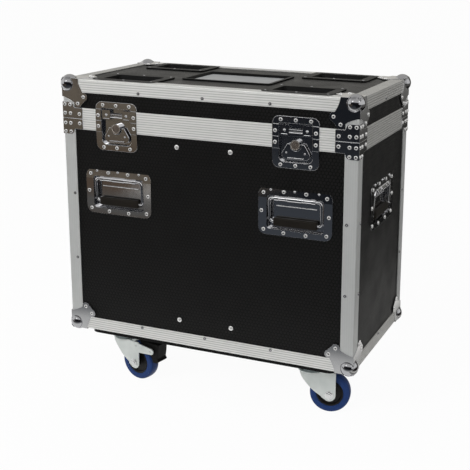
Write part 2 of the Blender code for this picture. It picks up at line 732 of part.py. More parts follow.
def build_latches():
    dish, keeper, flap = latch_dish(), latch_keeper(), latch_flap()
    for name, spot, turn in latch_places():
        place(f"latch_dish_{name}", dish, "chrome", spot, (0.0, 0.0, turn))
        place(f"latch_keeper_{name}", keeper, "chrome", spot, (0.0, 0.0, turn))
        inward = Matrix.Rotation(math.radians(turn), 4, "Z") @ Vector((0.0, FLAP_DEPTH, -SPINDLE_DROP))
        place(f"latch_flap_{name}", flap, "chrome", Vector(spot) + inward, (0.0, 0.0, turn))


# Handles, each in its own frame: X across, Y into the case, Z up from the plate's middle

def handle_plate():
    half = HANDLE_WIDTH / 2
    tall = HANDLE_HEIGHT / 2
    front = PLATE_BED - HANDLE_PLATE
    plate = prism(rounded((-half, half), (-tall, tall), (HANDLE_CORNER,) * 4), "Y", front, PLATE_BED)
    edge = HOLLOW_HALF + HANDLE_PLATE
    wall = box((-edge, edge), (front, HOLLOW_DEPTH + HANDLE_PLATE),
               (HOLLOW_BOTTOM - HANDLE_PLATE, HOLLOW_TOP + HANDLE_PLATE))
    hollow_outline = rounded((-HOLLOW_HALF, HOLLOW_HALF), (HOLLOW_BOTTOM, HOLLOW_TOP), (HOLLOW_CORNER,) * 4)
    hollow = prism(hollow_outline, "Y", -OVERRUN, HOLLOW_DEPTH)
    shell = combine(plate, add=(wall,), cut=(hollow,))
    length = BARREL_LENGTH / 2
    barrel = prism(circle(BARREL_RADIUS, 14, (HINGE_DEPTH, HINGE_LEVEL)), "X", -length, length)
    web = box((-length, length), (HINGE_DEPTH - HANDLE_PLATE, HINGE_DEPTH + HANDLE_PLATE),
              (HINGE_LEVEL + BARREL_BORE, HOLLOW_TOP + HANDLE_PLATE / 2))
    ridge_level = tall - RIDGE_DROP
    ridge = box((-RIDGE_WIDTH / 2, RIDGE_WIDTH / 2), (HOLLOW_DEPTH - RIDGE_PROUD, HOLLOW_DEPTH + HANDLE_PLATE / 2),
                (ridge_level - RIDGE_HEIGHT / 2, ridge_level + RIDGE_HEIGHT / 2))
    bore = prism(circle(BARREL_BORE, 14, (HINGE_DEPTH, HINGE_LEVEL)), "X", -length - OVERRUN, length + OVERRUN)
    return soften(combine(shell, add=(barrel, web, ridge), cut=(bore,)))


def bail_path():
    """The wire loop round the hinge line, one arm, the grip line and the other arm."""
    inner = BAIL_HALF - BAIL_BEND
    corners = (
        ((inner, -BAIL_BEND), 90.0, 0.0), ((inner, BAIL_BEND - BAIL_DROP), 0.0, -90.0),
        ((-inner, BAIL_BEND - BAIL_DROP), -90.0, -180.0), ((-inner, -BAIL_BEND), 180.0, 90.0),
    )
    points = []
    for centre, start, end in corners:
        points += arc(centre, BAIL_BEND, start, end, 3)
    lean = (GRIP_DEPTH - HINGE_DEPTH) / BAIL_DROP
    return [(across, -level * lean, level) for across, level in points]


def handle_bail():
    """The sprung bail with its rubber grip, with its origin on the hinge line."""
    curve = bpy.data.curves.new("wire", "CURVE")
    curve.dimensions = "3D"
    curve.bevel_depth = WIRE_RADIUS
    curve.bevel_resolution = 2
    path = bail_path()
    spline = curve.splines.new("POLY")
    spline.points.add(len(path) - 1)
    for point, place_of_point in zip(spline.points, path):
        point.co = (*place_of_point, 1.0)
    spline.use_cyclic_u = True
    guide = bpy.data.objects.new("wire", curve)
    bpy.context.collection.objects.link(guide)
    bpy.context.view_layer.update()
    evaluated = guide.evaluated_get(bpy.context.evaluated_depsgraph_get())
    wire = finish(bpy.data.meshes.new_from_object(evaluated))
    bpy.data.objects.remove(guide)
    depth = GRIP_DEPTH - HINGE_DEPTH
    outline = rounded((depth - GRIP_THICKNESS / 2, depth + GRIP_THICKNESS / 2),
                      (-BAIL_DROP - GRIP_HEIGHT / 2, GRIP_HEIGHT / 2 - BAIL_DROP), (GRIP_ROUND,) * 4, 2)
    grip = prism(outline, "X", -GRIP_LENGTH / 2, GRIP_LENGTH / 2)
    return soften(combine(wire, add=(grip,)))


def build_handles():
    plate, bail = handle_plate(), handle_bail()
    for name, spot, turn in handle_places():
        place(f"handle_plate_{name}", plate, "chrome", spot, (0.0, 0.0, turn))
        hinge = Matrix.Rotation(math.radians(turn), 4, "Z") @ Vector((0.0, HINGE_DEPTH, HINGE_LEVEL))
        place(f"handle_bail_{name}", bail, "bail", Vector(spot) + hinge, (0.0, 0.0, turn))


# Castor cups and label dish, each in a frame with its origin at the lid's top face

def cup_places():
    for face, turn in FRONT_AND_REAR:
        for side, sign in SIDES:
            spot = (sign * CUP_OFFSET_X, CUP_OFFSET_Y * (-1 if turn == 0 else 1), CASE_TOP)
            yield f"{face}_{side}", spot, turn


def dish_hole(length, width, border):
    x = length / 2 - border + DISH_WALL + CLEARANCE
    y = width / 2 - border + DISH_WALL + CLEARANCE
    return box((-x, x), (-y, y), (-PANEL_FACE - PANEL_THICKNESS - OVERRUN, OVERRUN))


def lid_dish(length, width, border, depth, on_extrusion):
    """A lipped tray set in the lid's top board; its lip laps the extrusion where they meet."""
    lip_top = CLEARANCE + DISH_WALL
    half = (length / 2, width / 2)
    opening = (half[0] - border, half[1] - border)
    floor = (opening[0] - DISH_DRAFT, opening[1] - DISH_DRAFT)
    lip_outline = rounded((-half[0], half[0]), (-half[1], half[1]), (DISH_ROUND,) * 4)
    lip = prism(lip_outline, "Z", CLEARANCE - PANEL_FACE, lip_top)
    outer_top = (opening[0] + DISH_WALL, opening[1] + DISH_WALL)
    outer_floor = (floor[0] + DISH_WALL, floor[1] + DISH_WALL)
    corner = DISH_ROUND / 2
    body = taper(outer_top, outer_floor, 0.0, lip_top - depth - DISH_WALL, corner)
    hollow = taper(opening, floor, lip_top, lip_top - depth, corner)
    above = taper(opening, opening, lip_top + OVERRUN, lip_top, corner)
    cuts = [combine(hollow, add=(above,))]
    if on_extrusion:
        flange = HALF_DEPTH - CUP_OFFSET_Y - FLANGE_WIDTH - CLEARANCE
        cuts.append(box((-length, length), (-width, -flange), (-PANEL_FACE - OVERRUN, CLEARANCE)))
    return combine(lip, add=(body,), cut=cuts)


def build_lid_dishes():
    cup = lid_dish(CUP_LENGTH, CUP_WIDTH, CUP_BORDER, CUP_DEPTH, True)
    for name, spot, turn in cup_places():
        place(f"castor_cup_{name}", cup, "black_cup", spot, (0.0, 0.0, turn))
    dish = lid_dish(LABEL_LENGTH, LABEL_WIDTH, LABEL_BORDER, LABEL_DEPTH, False)
    place("label_dish", dish, "black_cup", (0.0, 0.0, CASE_TOP))
    x = LABEL_LENGTH / 2 - LABEL_BORDER - DISH_DRAFT - DISH_WALL
    y = LABEL_WIDTH / 2 - LABEL_BORDER - DISH_DRAFT - DISH_WALL
    low = DISH_WALL - LABEL_DEPTH + 2 * CLEARANCE
    plate = prism(rounded((-x, x), (-y, y), (DISH_ROUND / 2,) * 4, 2), "Z", low, low + LABEL_PLATE)
    place("label_plate", plate, "label", (0.0, 0.0, CASE_TOP))


# Castors, each in a frame with its origin on the ground under the swivel axis

def castor_places():
    for face, side_y in (("front", -1), ("rear", 1)):
        for side, side_x in SIDES:
            name = f"{face}_{side}"
            yield name, (side_x * CASTOR_OFFSET_X, side_y * CASTOR_OFFSET_Y), SWIVELS[name]


def build_castor_board():
    x = HALF_WIDTH - BOARD_END_INSET
    y = HALF_DEPTH - BOARD_SIDE_INSET
    top = CASTOR_HEIGHT + BOARD_THICKNESS
    board = prism(rounded((-x, x), (-y, y), (BOARD_CORNER,) * 4), "Z", CASTOR_HEIGHT, top)
    reach = PAD_REACH + CLEARANCE
    relief = box((HALF_WIDTH - reach, HALF_WIDTH), (HALF_DEPTH - reach, HALF_DEPTH),
                 (top - PAD_THICKNESS - CLEARANCE, top + OVERRUN))
    adds = []
    plate_low = CASTOR_HEIGHT - PLATE_THICKNESS
    embed = PLATE_THICKNESS / 4
    for _, (at_x, at_y), _ in castor_places():
        adds.append(box((at_x - PLATE_LENGTH / 2, at_x + PLATE_LENGTH / 2),
                        (at_y - PLATE_WIDTH / 2, at_y + PLATE_WIDTH / 2), (plate_low, CASTOR_HEIGHT + embed)))
        bearing = circle(BEARING_RADIUS, 24, (at_x, at_y))
        adds.append(prism(bearing, "Z", plate_low - BEARING_HEIGHT, plate_low + embed))
    place("castor_board", combine(board, add=adds, cut=four_corners([relief])), "castor_board")


def leg_outline():
    bow = [(TRAIL + a * WHEEL_RADIUS, AXLE_LEVEL + b * WHEEL_RADIUS) for a, b in LEG_BOW_SHARES]
    tip = arc((TRAIL, AXLE_LEVEL), LEG_TIP, LEG_TIP_START, 0.0, 6)
    return [(-LEG_BACK, CROWN_TOP)] + bow + tip + [(TRAIL + LEG_TIP, CROWN_TOP)]


def arm_outline():
    """The brake version's arm, from over the axle out to the pedal's pin."""
    root = TRAIL - ARM_ROOT
    end = arc(pedal_pin(), ARM_WIDTH / 2, -90.0, 90.0, 6)
    return [(root, CROWN_TOP - ARM_ROOT_WIDTH)] + end + [(root, CROWN_TOP)]


def pedal_pin():
    return (TRAIL + PEDAL_PIN_SHARES[0] * WHEEL_RADIUS, AXLE_LEVEL + PEDAL_PIN_SHARES[1] * WHEEL_RADIUS)


def castor_fork(braked):
    low = CROWN_TOP - CROWN_THICKNESS
    inner = LEG_GAP / 2
    outer = inner + LEG_THICKNESS
    crown = prism(circle(CROWN_RADIUS, 28), "Z", low, CROWN_TOP)
    adds = [box((0.0, ROOF_REACH), (-outer + LEG_THICKNESS / 4, outer - LEG_THICKNESS / 4),
                (low, CROWN_TOP - CROWN_THICKNESS / 4))]
    outlines = [leg_outline(), arm_outline()] if braked else [leg_outline()]
    for _, sign in SIDES:
        for outline in outlines:
            adds.append(prism(outline, "Y", *sorted((sign * inner, sign * outer))))
    head = outer + AXLE_HEAD
    adds.append(prism(circle(AXLE_RADIUS, 14, (TRAIL, AXLE_LEVEL)), "Y", -head, head))
    if braked:
        adds.append(prism(circle(PEDAL_PIN, 10, pedal_pin()), "Y", -outer, outer))
    return soften(combine(crown, add=adds))


def castor_wheel():
    """Tyre and hub turned about Y, with the origin at the axle's middle."""
    half = WHEEL_WIDTH / 2
    dish = half - RIM_STEP
    profile = [
        (AXLE_RADIUS + AXLE_CLEARANCE, -HUB_WIDTH / 2), (HUB_RADIUS, -HUB_WIDTH / 2), (HUB_RADIUS, -dish),
        (RIM_RADIUS, -dish), (RIM_RADIUS, -half), (WHEEL_RADIUS - TREAD_SHOULDER, -half),
        (WHEEL_RADIUS, -TREAD_WIDTH / 2),
    ]
    return soften(lathe(profile + [(radius, -along) for radius, along in reversed(profile)], 24), 25.0)


def brake_pedal():
    """The black lever round the back of the tyre, with its origin on its pin."""
    pin_x, pin_z = pedal_pin()
    outer = [(TRAIL + a * WHEEL_RADIUS - pin_x, AXLE_LEVEL + b * WHEEL_RADIUS - pin_z) for a, b in PEDAL_SHARES]
    inner = arc((TRAIL - pin_x, AXLE_LEVEL - pin_z), WHEEL_RADIUS + PEDAL_CLEARANCE, *PEDAL_ARC, 8)
    lever = prism(outer + inner, "Y", -PEDAL_WIDTH / 2, PEDAL_WIDTH / 2)
    bore = circle(PEDAL_PIN + AXLE_CLEARANCE, 10)
    return combine(lever, cut=(prism(bore, "Y", -PEDAL_WIDTH, PEDAL_WIDTH),))


def build_castors():
    forks = {braked: castor_fork(braked) for braked in (False, True)}
    wheel, pedal = castor_wheel(), brake_pedal()
    pin_x, pin_z = pedal_pin()
    for name, spot, angle in castor_places():
        braked = name in BRAKED
        fork = place(f"castor_fork_{name}", forks[braked], "zinc", (*spot, 0.0), (0.0, 0.0, angle))
        place(f"castor_wheel_{name}", wheel, "tyre", (TRAIL, 0.0, AXLE_LEVEL), parent=fork)
        if braked:
            place(f"brake_pedal_{name}", pedal, "brake", (pin_x, 0.0, pin_z), parent=fork)


def clear_scene():
    for item in list(bpy.data.objects):
        bpy.data.objects.remove(item)


def main():
    clear_scene()
    build_boards()
    build_dividers()
    build_extrusions()
    build_ball_corners()
    build_latches()
    build_handles()
    build_lid_dishes()
    build_castor_board()
    build_castors()


main()
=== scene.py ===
import math

import bpy
from mathutils import Matrix, Vector


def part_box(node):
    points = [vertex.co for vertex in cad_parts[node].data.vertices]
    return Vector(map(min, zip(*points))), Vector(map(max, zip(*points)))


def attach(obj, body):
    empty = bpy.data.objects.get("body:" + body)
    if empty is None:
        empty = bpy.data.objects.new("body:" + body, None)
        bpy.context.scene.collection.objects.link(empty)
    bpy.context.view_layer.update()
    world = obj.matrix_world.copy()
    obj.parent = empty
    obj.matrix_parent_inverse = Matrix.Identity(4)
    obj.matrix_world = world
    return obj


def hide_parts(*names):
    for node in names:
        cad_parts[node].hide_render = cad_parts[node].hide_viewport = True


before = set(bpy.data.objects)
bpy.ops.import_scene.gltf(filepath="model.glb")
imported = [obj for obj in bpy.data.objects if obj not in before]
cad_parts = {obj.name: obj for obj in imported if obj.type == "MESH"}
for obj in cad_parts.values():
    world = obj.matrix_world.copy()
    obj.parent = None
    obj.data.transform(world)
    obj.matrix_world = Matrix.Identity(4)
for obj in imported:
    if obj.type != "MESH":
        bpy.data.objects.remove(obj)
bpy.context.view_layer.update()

# the case over its extrusions, and where its levels are
case = {
    "width": 0.764,
    "depth": 0.402,
    "bottom": 0.1373,
    "seam": 0.6853,
    "top": 0.7823,
}
halfWidth = case["width"] / 2
halfDepth = case["depth"] / 2
gap = 0.0003          # clearance between pieces
skin = 0.0018         # thickness of the extrusions
panelFace = 0.0021    # how far the boards' faces lie behind the extrusions' faces
tiny = 0.0001         # how near counts as the same place
merged = 0.00002      # how near two points of a mesh are to count as one
sharpAngle = 40       # degrees between two faces from which their edge is sharp
sides = (("left", -1), ("right", 1))
faceTurns = (("front", 0), ("rear", 180))
allTurns = faceTurns + (("right", 90), ("left", -90))
corners = (("front_left", -1, -1), ("rear_left", -1, 1), ("front_right", 1, -1), ("rear_right", 1, 1))
asMade = Matrix.Identity(4)
upsideDown = Matrix.Rotation(math.radians(180), 4, "X")


# small helpers, used by every piece

def leaveEdit():
    bpy.ops.object.mode_set(mode="OBJECT")


def clearSelection():
    if bpy.context.object and bpy.context.object.mode != "OBJECT":
        leaveEdit()
    bpy.ops.object.select_all(action="DESELECT")


def pick(piece):
    clearSelection()
    piece.select_set(True)
    bpy.context.view_layer.objects.active = piece


def editAll(piece):
    pick(piece)
    bpy.ops.object.mode_set(mode="EDIT")
    bpy.ops.mesh.select_all(action="SELECT")


def settle(name):
    # the new primitive gets its name, and its place goes into its mesh
    piece = bpy.context.object
    piece.name = name
    piece.data.name = name
    bpy.ops.object.transform_apply(location=True, rotation=True, scale=True)
    return piece


def addBlock(name, low, high):
    clearSelection()
    middle = [(a + b) / 2 for a, b in zip(low, high)]
    bpy.ops.mesh.primitive_cube_add(size=1, location=middle)
    bpy.context.object.scale = [b - a for a, b in zip(low, high)]
    return settle(name)


def addRod(name, radius, start, end, sides=32):
    clearSelection()
    line = Vector(end) - Vector(start)
    bpy.ops.mesh.primitive_cylinder_add(vertices=sides, radius=radius, depth=line.length)
    bpy.context.object.location = (Vector(start) + Vector(end)) / 2
    bpy.context.object.rotation_euler = line.to_track_quat("Z", "Y").to_euler()
    return settle(name)


def addDisc(name, radius, depth, middle, sides, tilt=0):
    clearSelection()
    bpy.ops.mesh.primitive_cylinder_add(vertices=sides, radius=radius, depth=depth, location=middle,
                                        rotation=(math.radians(tilt), 0, 0))
    return settle(name)


def addBall(name, radius, middle=(0, 0, 0), segments=20, rings=12):
    clearSelection()
    bpy.ops.mesh.primitive_uv_sphere_add(segments=segments, ring_count=rings, radius=radius, location=middle)
    return settle(name)


def unselect(*parts):
    for part in parts:
        for item in part:
            item.select = False


def editSelected(faces):
    # edit mode for faces, or else for edges, which keeps what is selected
    bpy.context.tool_settings.mesh_select_mode = (False, not faces, faces)
    bpy.ops.object.mode_set(mode="EDIT")


def selectFaces(piece, test):
    # the test is given a face's centre and normal
    pick(piece)
    mesh = piece.data
    unselect(mesh.vertices, mesh.edges)
    for face in mesh.polygons:
        face.select = bool(test(face.center, face.normal))
    editSelected(True)


def selectEdges(piece, test, among=None):
    # the test is given an edge's two ends
    pick(piece)
    mesh = piece.data
    unselect(mesh.vertices, mesh.polygons)
    for edge in mesh.edges:
        ends = [mesh.vertices[index].co for index in edge.vertices]
        edge.select = bool((among is None or edge.key in among) and test(*ends))
    editSelected(False)


def pull(piece, test, offset):
    selectFaces(piece, test)
    bpy.ops.mesh.extrude_region_move(TRANSFORM_OT_translate={"value": offset})
    leaveEdit()


def insetFaces(piece, test, width, depth=0.0):
    selectFaces(piece, test)
    bpy.ops.mesh.inset(thickness=width, depth=depth)
    leaveEdit()


def cutAcross(piece, point, normal, drop=False):
    # with drop, what lies beyond the cut is taken off and the end closed
    editAll(piece)
    bpy.ops.mesh.bisect(plane_co=point, plane_no=normal, use_fill=drop, clear_outer=drop)
    leaveEdit()


def traceOutline(name, points, filled=True):
    # one vertex is pulled along the outline, and the loop is closed
    clearSelection()
    bpy.ops.mesh.primitive_plane_add(size=0.001, location=points[0])
    piece = settle(name)
    bpy.context.tool_settings.mesh_select_mode = (True, False, False)
    bpy.ops.object.mode_set(mode="EDIT")
    bpy.ops.mesh.select_all(action="SELECT")
    bpy.ops.mesh.merge(type="CENTER")
    for here, there in zip(points, points[1:]):
        bpy.ops.mesh.extrude_vertices_move(TRANSFORM_OT_translate={"value": Vector(there) - Vector(here)})
    bpy.ops.mesh.select_all(action="SELECT")
    bpy.ops.mesh.edge_face_add()
    if not filled:
        bpy.ops.mesh.delete(type="ONLY_FACE")
    leaveEdit()
    return piece


def faceOut(piece, nearest=0.00001):
    editAll(piece)
    bpy.ops.mesh.remove_doubles(threshold=nearest)
    bpy.ops.mesh.normals_make_consistent(inside=False)
    leaveEdit()


def cutPlate(name, points, thickness):
    # a flat outline, given thickness as a stamped plate is
    piece = traceOutline(name, points)
    pull(piece, lambda centre, normal: True, thickness)
    faceOut(piece)
    return piece


def useModifier(piece, kind, **settings):
    pick(piece)
    modifier = piece.modifiers.new(kind.lower(), kind)
    for setting, value in settings.items():
        setattr(modifier, setting, value)
    bpy.ops.object.modifier_apply(modifier=modifier.name)


def carve(piece, other, operation="DIFFERENCE"):
    useModifier(piece, "BOOLEAN", operation=operation, solver="EXACT", object=other)
    bpy.data.objects.remove(other)


def weld(piece, other):
    carve(piece, other, "UNION")


def roundEdges(piece, width, segments=2, angle=sharpAngle):
    useModifier(piece, "BEVEL", width=width, segments=segments, limit_method="ANGLE",
                angle_limit=math.radians(angle), use_clamp_overlap=True, harden_normals=False)


def roundRims(piece, onFront, width, segments=3):
    # only the sharp edges that lie on a front face, for a wider round than the plate's back allows
    beside = {}
    for face in piece.data.polygons:
        for key in face.edge_keys:
            beside.setdefault(key, []).append(face.normal.copy())
    sharp = {key for key, normals in beside.items()
             if len(normals) == 2 and normals[0].angle(normals[1]) > math.radians(sharpAngle)}
    selectEdges(piece, onFront, sharp)
    bpy.ops.mesh.bevel(offset=width, segments=segments, affect="EDGES", clamp_overlap=True)
    leaveEdit()


def onPlanes(*planes):
    # says whether an edge lies on one of these planes, each an axis and a level
    return lambda a, b: any(abs(a[axis] - level) < merged and abs(b[axis] - level) < merged
                            for axis, level in planes)


def evenShading(piece):
    useModifier(piece, "WEIGHTED_NORMAL", keep_sharp=True, weight=90, mode="FACE_AREA")


def smooth(piece, angle=sharpAngle, flatFaces=True, crease=None):
    # rounded edges shade softly, and the flat faces between them stay flat
    pick(piece)
    bpy.ops.object.shade_smooth_by_angle(angle=math.radians(angle))
    if crease:
        selectEdges(piece, crease)
        bpy.ops.mesh.mark_sharp()
        leaveEdit()
    if flatFaces:
        evenShading(piece)


def soften(piece, width, segments=2, angle=sharpAngle):
    roundEdges(piece, width, segments, angle)
    smooth(piece)


def joinPieces(name, pieces):
    clearSelection()
    for piece in pieces:
        piece.select_set(True)
    bpy.context.view_layer.objects.active = pieces[0]
    if len(pieces) > 1:
        bpy.ops.object.join()
    pieces[0].name = name
    pieces[0].data.name = name
    return pieces[0]


def putAt(piece, matrix):
    # a mirrored piece has its faces turned out and its shading made again
    piece.data.transform(matrix)
    if matrix.determinant() < 0:
        piece.data.flip_normals()
        pick(piece)
        bpy.ops.mesh.customdata_custom_splitnormals_clear()
        evenShading(piece)


def twinOf(piece, name):
    twin = piece.copy()
    twin.data = piece.data.copy()
    twin.name = name
    twin.data.name = name
    bpy.context.collection.objects.link(twin)
    return twin


def copyTo(piece, name, matrix):
    twin = twinOf(piece, name)
    putAt(twin, matrix)
    return twin


def dropPieces(*pieces):
    for piece in pieces:
        bpy.data.objects.remove(piece)


def carryOver(node, name, place=asMade):
    # a welded copy of a CAD solid, brought from its place to the origin to be finished there
    twin = twinOf(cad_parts[node], name)
    twin.parent = None
    twin.matrix_world = asMade
    pick(twin)
    if twin.data.has_custom_normals:
        bpy.ops.mesh.customdata_custom_splitnormals_clear()
    editAll(twin)
    bpy.ops.mesh.remove_doubles(threshold=merged)
    bpy.ops.mesh.dissolve_limited(angle_limit=math.radians(1))
    leaveEdit()
    twin.data.transform(place.inverted())
    return twin


def arcPoints(centre, radius, start, end, steps):
    angles = [math.radians(start + (end - start) * step / steps) for step in range(steps + 1)]
    return [(centre[0] + radius * math.cos(angle), centre[1] + radius * math.sin(angle)) for angle in angles]


def turned(angle, spot=(0, 0, 0)):
    return Matrix.Translation(spot) @ Matrix.Rotation(math.radians(angle), 4, "Z")


def faceMatrix(turn):
    # stands a piece made facing +Z on an upright face turned by this angle
    return turned(turn) @ Matrix.Rotation(math.radians(90), 4, "X")


def faceSpot(turn, across, level, out=0.0):
    # a place on an upright face; across is along X on the long faces and along Y on the ends
    if turn in (90, -90):
        return (math.copysign(halfWidth + out, turn), across, level)
    return (across, -halfDepth - out if turn == 0 else halfDepth + out, level)


def cornerMatrix(sideX, sideY, level):
    # a piece made for the corner at the left front is mirrored to the others
    mirror = Matrix.Diagonal((-sideX, -sideY, 1, 1))
    return Matrix.Translation((sideX * halfWidth, sideY * halfDepth, level)) @ mirror


def barMatrix(turn, level, up):
    # a bar made along X goes along the edge of the face with this turn
    reach = halfWidth if turn in (90, -90) else halfDepth
    return turned(turn) @ Matrix.Translation((0, -reach, level)) @ Matrix.Diagonal((1, 1, up, 1))


def paint(piece, finish):
    piece.data.materials.clear()
    piece.data.materials.append(finishes[finish])


def paintPart(piece, finish, test):
    # a further finish, only for the faces that pass the test
    piece.data.materials.append(finishes[finish])
    selectFaces(piece, test)
    piece.active_material_index = len(piece.data.materials) - 1
    bpy.ops.object.material_slot_assign()
    leaveEdit()


def dress(piece, finish, body, node=None):
    # without a finish, the piece keeps what it was painted with; the node is what it stands for
    if finish:
        paint(piece, finish)
    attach(piece, body)
    if node:
        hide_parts(node)


# shader groups and finishes

class Signal:
    # a node's output, which is added, multiplied and compared as a number is

    def __init__(self, socket):
        self.socket = socket

    def __add__(self, other):
        return mathNode("ADD", self, other)

    def __sub__(self, other):
        return mathNode("SUBTRACT", self, other)

    def __rsub__(self, other):
        return mathNode("SUBTRACT", other, self)

    def __mul__(self, other):
        return mathNode("MULTIPLY", self, other)

    def __truediv__(self, other):
        return mathNode("DIVIDE", self, other)

    def __abs__(self):
        return mathNode("ABSOLUTE", self)

    def above(self, other):
        return mathNode("GREATER_THAN", self, other)

    def greater(self, other):
        return mathNode("MAXIMUM", self, other)


def feed(socket, value):
    # a signal is wired in, and a number or colour is set
    if isinstance(value, Signal):
        value.socket.id_data.links.new(value.socket, socket)
    elif socket.type == "RGBA":
        socket.default_value = (*value, 1.0)
    else:
        socket.default_value = value


def feedAll(node, values):
    for label, value in values.items():
        feed(node.inputs[label], value)


def addNode(tree, kind, values, **settings):
    node = tree.nodes.new(f"ShaderNode{kind}")
    for setting, value in settings.items():
        setattr(node, setting, value)
    feedAll(node, values)
    return node


def signal(node, label=0):
    return Signal(node.outputs[label])


def mathNode(operation, *values):
    tree = next(value for value in values if isinstance(value, Signal)).socket.id_data
    return signal(addNode(tree, "Math", dict(enumerate(values)), operation=operation))


def mixColours(mask, first, second):
    values = {"Factor": mask, 6: first, 7: second}
    return signal(addNode(mask.socket.id_data, "Mix", values, data_type="RGBA"), 2)


def mapValue(value, low, high, fromLow, fromHigh, **settings):
    values = {"Value": value, "From Min": fromLow, "From Max": fromHigh, "To Min": low, "To Max": high}
    return signal(addNode(value.socket.id_data, "MapRange", values, **settings), "Result")


def placeOf(tree, output="Object"):
    return signal(addNode(tree, "TexCoord", {}), output)


def addNoise(tree, place, scale, detail, distortion=0.0):
    values = {"Vector": place, "Scale": scale, "Detail": detail, "Distortion": distortion}
    return signal(addNode(tree, "TexNoise", values), "Fac")


def partsOf(tree, output):
    # the place or the face's own normal, as its parts along the three axes
    parts = addNode(tree, "SeparateXYZ", {0: placeOf(tree, output)})
    return {axis: signal(parts, axis) for axis in "XYZ"}


def newGroup(name, inputs, outputs):
    group = bpy.data.node_groups.new(name, "ShaderNodeTree")
    for label, value in inputs.items():
        kind = "NodeSocketVector" if isinstance(value, tuple) else "NodeSocketFloat"
        socket = group.interface.new_socket(name=label, in_out="INPUT", socket_type=kind)
        socket.default_value = value
    for label in outputs:
        group.interface.new_socket(name=label, in_out="OUTPUT", socket_type="NodeSocketFloat")
    start = group.nodes.new("NodeGroupInput")
    return group, {label: signal(start, label) for label in inputs}, group.nodes.new("NodeGroupOutput")


def buildHandlingMarks():
    # faint smears and fine scratches, as a mask for roughness and a height for bump
    group, given, end = newGroup("handlingMarks", {"Scale": 1.0, "Stretch": (1.0, 1.0, 1.0)},
                                 ("Smears", "Scratches", "Height"))
    place = placeOf(group)
    stretched = signal(addNode(group, "VectorMath", {0: place, 1: given["Stretch"]}, operation="MULTIPLY"))
    lines = addNoise(group, stretched, given["Scale"] * 190.0, 6.0)
    feedAll(end, {"Smears": addNoise(group, place, given["Scale"] * 22.0, 4.0),
                  "Scratches": mapValue(lines, 0.0, 1.0, 0.56, 0.72), "Height": lines})
    return group


def buildFluting():
    # fine drawn lines along an extrusion, from whichever way runs across the face
    group, given, end = newGroup("fluting", {"Across": 0.0, "Pitch": 0.0057, "Groove Share": 0.26},
                                 ("Groove",))
    saw = abs(mathNode("FRACT", given["Across"] / given["Pitch"]) - 0.5)
    low = 0.5 - given["Groove Share"]
    feed(end.inputs["Groove"], mapValue(saw, 0.0, 1.0, low, 0.5, interpolation_type="SMOOTHSTEP"))
    return group


def buildHexRelief():
    # a honeycomb from two offset lattices of cells, for the laminate's pressed pattern
    group, given, end = newGroup("hexRelief", {"Across": 0.0, "Up": 0.0, "Cell": 0.0088}, ("Height", "Line"))
    root3 = math.sqrt(3)
    u, v = given["Across"] / given["Cell"], given["Up"] / given["Cell"]
    distances = []
    for shift in (0.0, 0.5):
        across = abs(mathNode("FRACT", u + shift) - 0.5)
        upward = abs((mathNode("FRACT", v / root3 + shift) - 0.5) * root3)
        distances.append(across.greater(across * 0.5 + upward * (root3 / 2)))
    nearest = mathNode("MINIMUM", *distances)
    line = mapValue(nearest, 0.0, 1.0, 0.30, 0.43, interpolation_type="SMOOTHSTEP")
    feedAll(end, {"Line": line, "Height": 1.0 - line})
    return group


handlingMarks = buildHandlingMarks()
fluting = buildFluting()
hexRelief = buildHexRelief()
facingLimit = 0.7          # how far a face's normal leans before it counts as facing that way
flatLimit = 0.995          # past this the face is flat, so its rounded edges carry no lines
smearRange = (0.3, 0.7)    # the part of a noise that its mask is stretched from
bumpDepth = 0.0006


def newFinish(name):
    finish = bpy.data.materials.new(name)
    finish.use_nodes = True
    return finish, finish.node_tree, finish.node_tree.nodes["Principled BSDF"]


def useGroup(tree, group, **values):
    node = addNode(tree, "Group", values, node_tree=group)
    return {socket.name: Signal(socket) for socket in node.outputs}


def wornRoughness(marks, low, high, scratchShare):
    return mapValue(marks["Smears"], low, high, *smearRange) + marks["Scratches"] * scratchShare


def addBump(tree, shader, height, strength):
    bump = addNode(tree, "Bump", {"Strength": strength, "Distance": bumpDepth, "Height": height})
    feed(shader.inputs["Normal"], signal(bump, "Normal"))


def metalFinish(name, colour, worn, roughness, bump, metallic=1.0):
    finish, tree, shader = newFinish(name)
    marks = useGroup(tree, handlingMarks)
    feedAll(shader, {"Base Color": mixColours(marks["Smears"], colour, worn), "Metallic": metallic,
                     "Roughness": wornRoughness(marks, *roughness)})
    addBump(tree, shader, marks["Height"], bump)
    return finish


def extrusionFinish(name, alongAxis, depth, colour):
    # anodised aluminium with drawn lines, whose grooves are darkened as painted shade; the face's own normal
    # says which way is across
    finish, tree, shader = newFinish(name)
    spots = partsOf(tree, "Object")
    tilts = {axis: abs(part) for axis, part in partsOf(tree, "Normal").items()}
    facing, other = {"X": "ZY", "Y": "ZX", "Z": "XY"}[alongAxis]
    flat = tilts[facing].above(facingLimit)
    lines = useGroup(tree, fluting, Across=spots[facing] * (1.0 - flat) + spots[other] * flat)
    level = tilts["X"].greater(tilts["Y"]).greater(tilts["Z"]).above(flatLimit)
    groove = lines["Groove"] * level
    marks = useGroup(tree, handlingMarks, Stretch=[0.06 if axis == alongAxis else 1 for axis in "XYZ"])
    clean = mixColours(marks["Smears"], colour, [0.88 * part for part in colour])
    # the grooves are mixed towards a dark grey: painted shade in them
    feedAll(shader, {"Base Color": mixColours(groove * depth, clean, (0.15, 0.15, 0.145)), "Metallic": 0.35,
                     "Roughness": wornRoughness(marks, 0.34, 0.50, 0.04)})
    addBump(tree, shader, (1.0 - groove) + marks["Height"] * 0.04, depth)
    return finish


